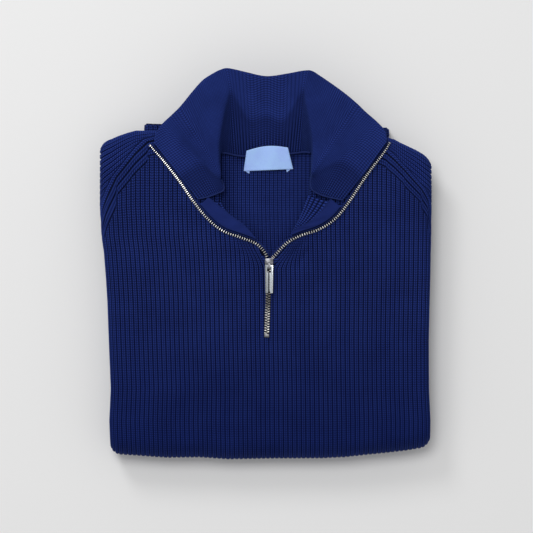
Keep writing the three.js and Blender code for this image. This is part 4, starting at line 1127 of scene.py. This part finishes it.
bevelled("zip_slider", "zipSlider", "sweater", 0.3, 2, steelDark)
bevelled("zip_pull", "zipPull", "pull", 0.34, 3, steelPull)
bevelled("zip_stop_bottom", "zipStopBottom", "sweater", 0.35, 2, steelDark)
bevelled("zip_stop_top_left", "zipStopTopLeft", "sweater", 0.35, 2, steelBright)
bevelled("zip_stop_top_right", "zipStopTopRight", "sweater", 0.35, 2, steelBright)
print("zip made")

# The label, sewn at its two ends.
labelCloth = {
    "top": ((-19.4, 117), (23, 120.3), 42.3),
    "low": ((-22.4, 96.2), (28.4, 98.3)),
    "lift": 1.5,
    "rise": 3.2,
    "bow": 1.3,
    "thick": 0.45,
}


def labelPoint(u, v, drop):
    (leftX, leftY), (rightX, rightY), topZ = labelCloth["top"]
    (lowLeftX, lowLeftY), (lowRightX, lowRightY) = labelCloth["low"]
    arch = np.sin(np.pi * u)
    lowX, lowY = mix(lowLeftX, lowRightX, u), mix(lowLeftY, lowRightY, u)
    low = neckFloor(lowX, lowY) + labelCloth["lift"] + labelCloth["bow"] * arch
    ripple = (0.35 * np.sin(u * 11 + v * 2) + 0.2 * np.sin(u * 5 - v * 4)) * arch
    x = mix(mix(leftX, rightX, u), lowX, v)
    y = mix(mix(leftY, rightY, u) + labelCloth["rise"] * arch, lowY, v)
    return np.stack([x, y, mix(topZ, low, v) - drop + ripple], -1)


def neckLabel():
    v, u = np.meshgrid(np.linspace(0, 1, 22), np.linspace(0, 1, 44), indexing="ij")
    outer, inner = labelPoint(u, v, 0.0), labelPoint(u, v, labelCloth["thick"])
    uv = gridUv(outer)
    piece = shell("neckLabel", outer, inner, labelSatin, uv, uv)
    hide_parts("neck_label")
    tabs = []
    for name, first, last in (("labelTabLeft", 0.03, 0.12), ("labelTabRight", 0.86, 0.95)):
        vv, uu = np.meshgrid(np.linspace(0.94, 1.0, 7), np.linspace(first, last, 7), indexing="ij")
        outwards = (uu - first) / (last - first) if name == "labelTabLeft" else (last - uu) / (last - first)
        face = labelPoint(uu, vv + (vv - 0.94) * 2.2 * outwards, 0.75)
        tabUv = gridUv(face)
        tabs.append(shell(name, face, face - (0, 0, 0.35), labelSatin, tabUv, tabUv))
    stitches = []
    for u0, u1, v0, v1 in ((0.02, 0.03, 0.08, 0.92), (0.975, 0.965, 0.08, 0.92)):
        steps = np.linspace(0, 1, 60)
        stitches += stitchRow(labelPoint(mix(u0, u1, steps), mix(v0, v1, steps), -0.1))
    points, faces, threadUv = strands(stitches, 0.17, 5)
    tabs.append(makeMesh("labelStitches", points, faces, labelSatin, uv=threadUv))
    return piece, tabs


label, labelBits = neckLabel()
print("label made")

# Floor, light and camera.
studio = {
    "centre": (1.03, -1.6),    # mm, what the picture's middle looks at
    "millimetresPerPixel": 1.027,
    "picture": 533,
    "distance": 3.2,
    "level": 35.0,              # mm above the floor where that scale holds
    "floor": (0.82, 0.82, 0.82),
    "air": 0.50,
    "overhead": ((-0.5, 0.9, 3.0), 1.4, 34),
    "farSide": ((-1.3, 2.2, 1.9), 1.0, 26),
}
floorMesh = bpy.data.meshes.new("studioFloor")
floorMesh.from_pydata([(-6, -6, 0), (6, -6, 0), (6, 6, 0), (-6, 6, 0)], [], [(0, 1, 2, 3)])
floor = bpy.data.objects.new("studioFloor", floorMesh)
bpy.context.scene.collection.objects.link(floor)
paper = Shop("palePaper")
grain = paper.noise(paper.place(), 300.0)
paperLook = {"Base Color": (*studio["floor"], 1), "Roughness": 0.9 + grain * 0.05, "Specular IOR Level": 0.0}
floorMesh.materials.append(paper.finish(paperLook, grain, 0.05, 0.0001))


def areaLight(name, place, size, power):
    data = bpy.data.lights.new(name, "AREA")
    data.shape, data.size, data.energy = "DISK", size, power
    lamp = bpy.data.objects.new(name, data)
    bpy.context.scene.collection.objects.link(lamp)
    lamp.location = place
    lamp.rotation_mode = "QUATERNION"
    lamp.rotation_quaternion = Vector(place).to_track_quat("Z", "Y")


areaLight("overhead", *studio["overhead"])
areaLight("farSide", *studio["farSide"])
world = bpy.data.worlds.new("studioAir")
bpy.context.scene.world = world
world.use_nodes = True
world.node_tree.nodes["Background"].inputs[0].default_value = (1, 1, 1, 1)
world.node_tree.nodes["Background"].inputs[1].default_value = studio["air"]

camera = bpy.data.objects.new("camera", bpy.data.cameras.new("camera"))
bpy.context.scene.collection.objects.link(camera)
span = studio["picture"] * studio["millimetresPerPixel"] / 1000
camera.location = (*(v / 1000 for v in studio["centre"]), studio["distance"] + studio["level"] / 1000)
camera.data.sensor_width = 36
camera.data.lens = 36 * studio["distance"] / span
camera.data.clip_end = 50
bpy.context.scene.camera = camera
bpy.context.scene.view_settings.view_transform = "Standard"
print("camera set")
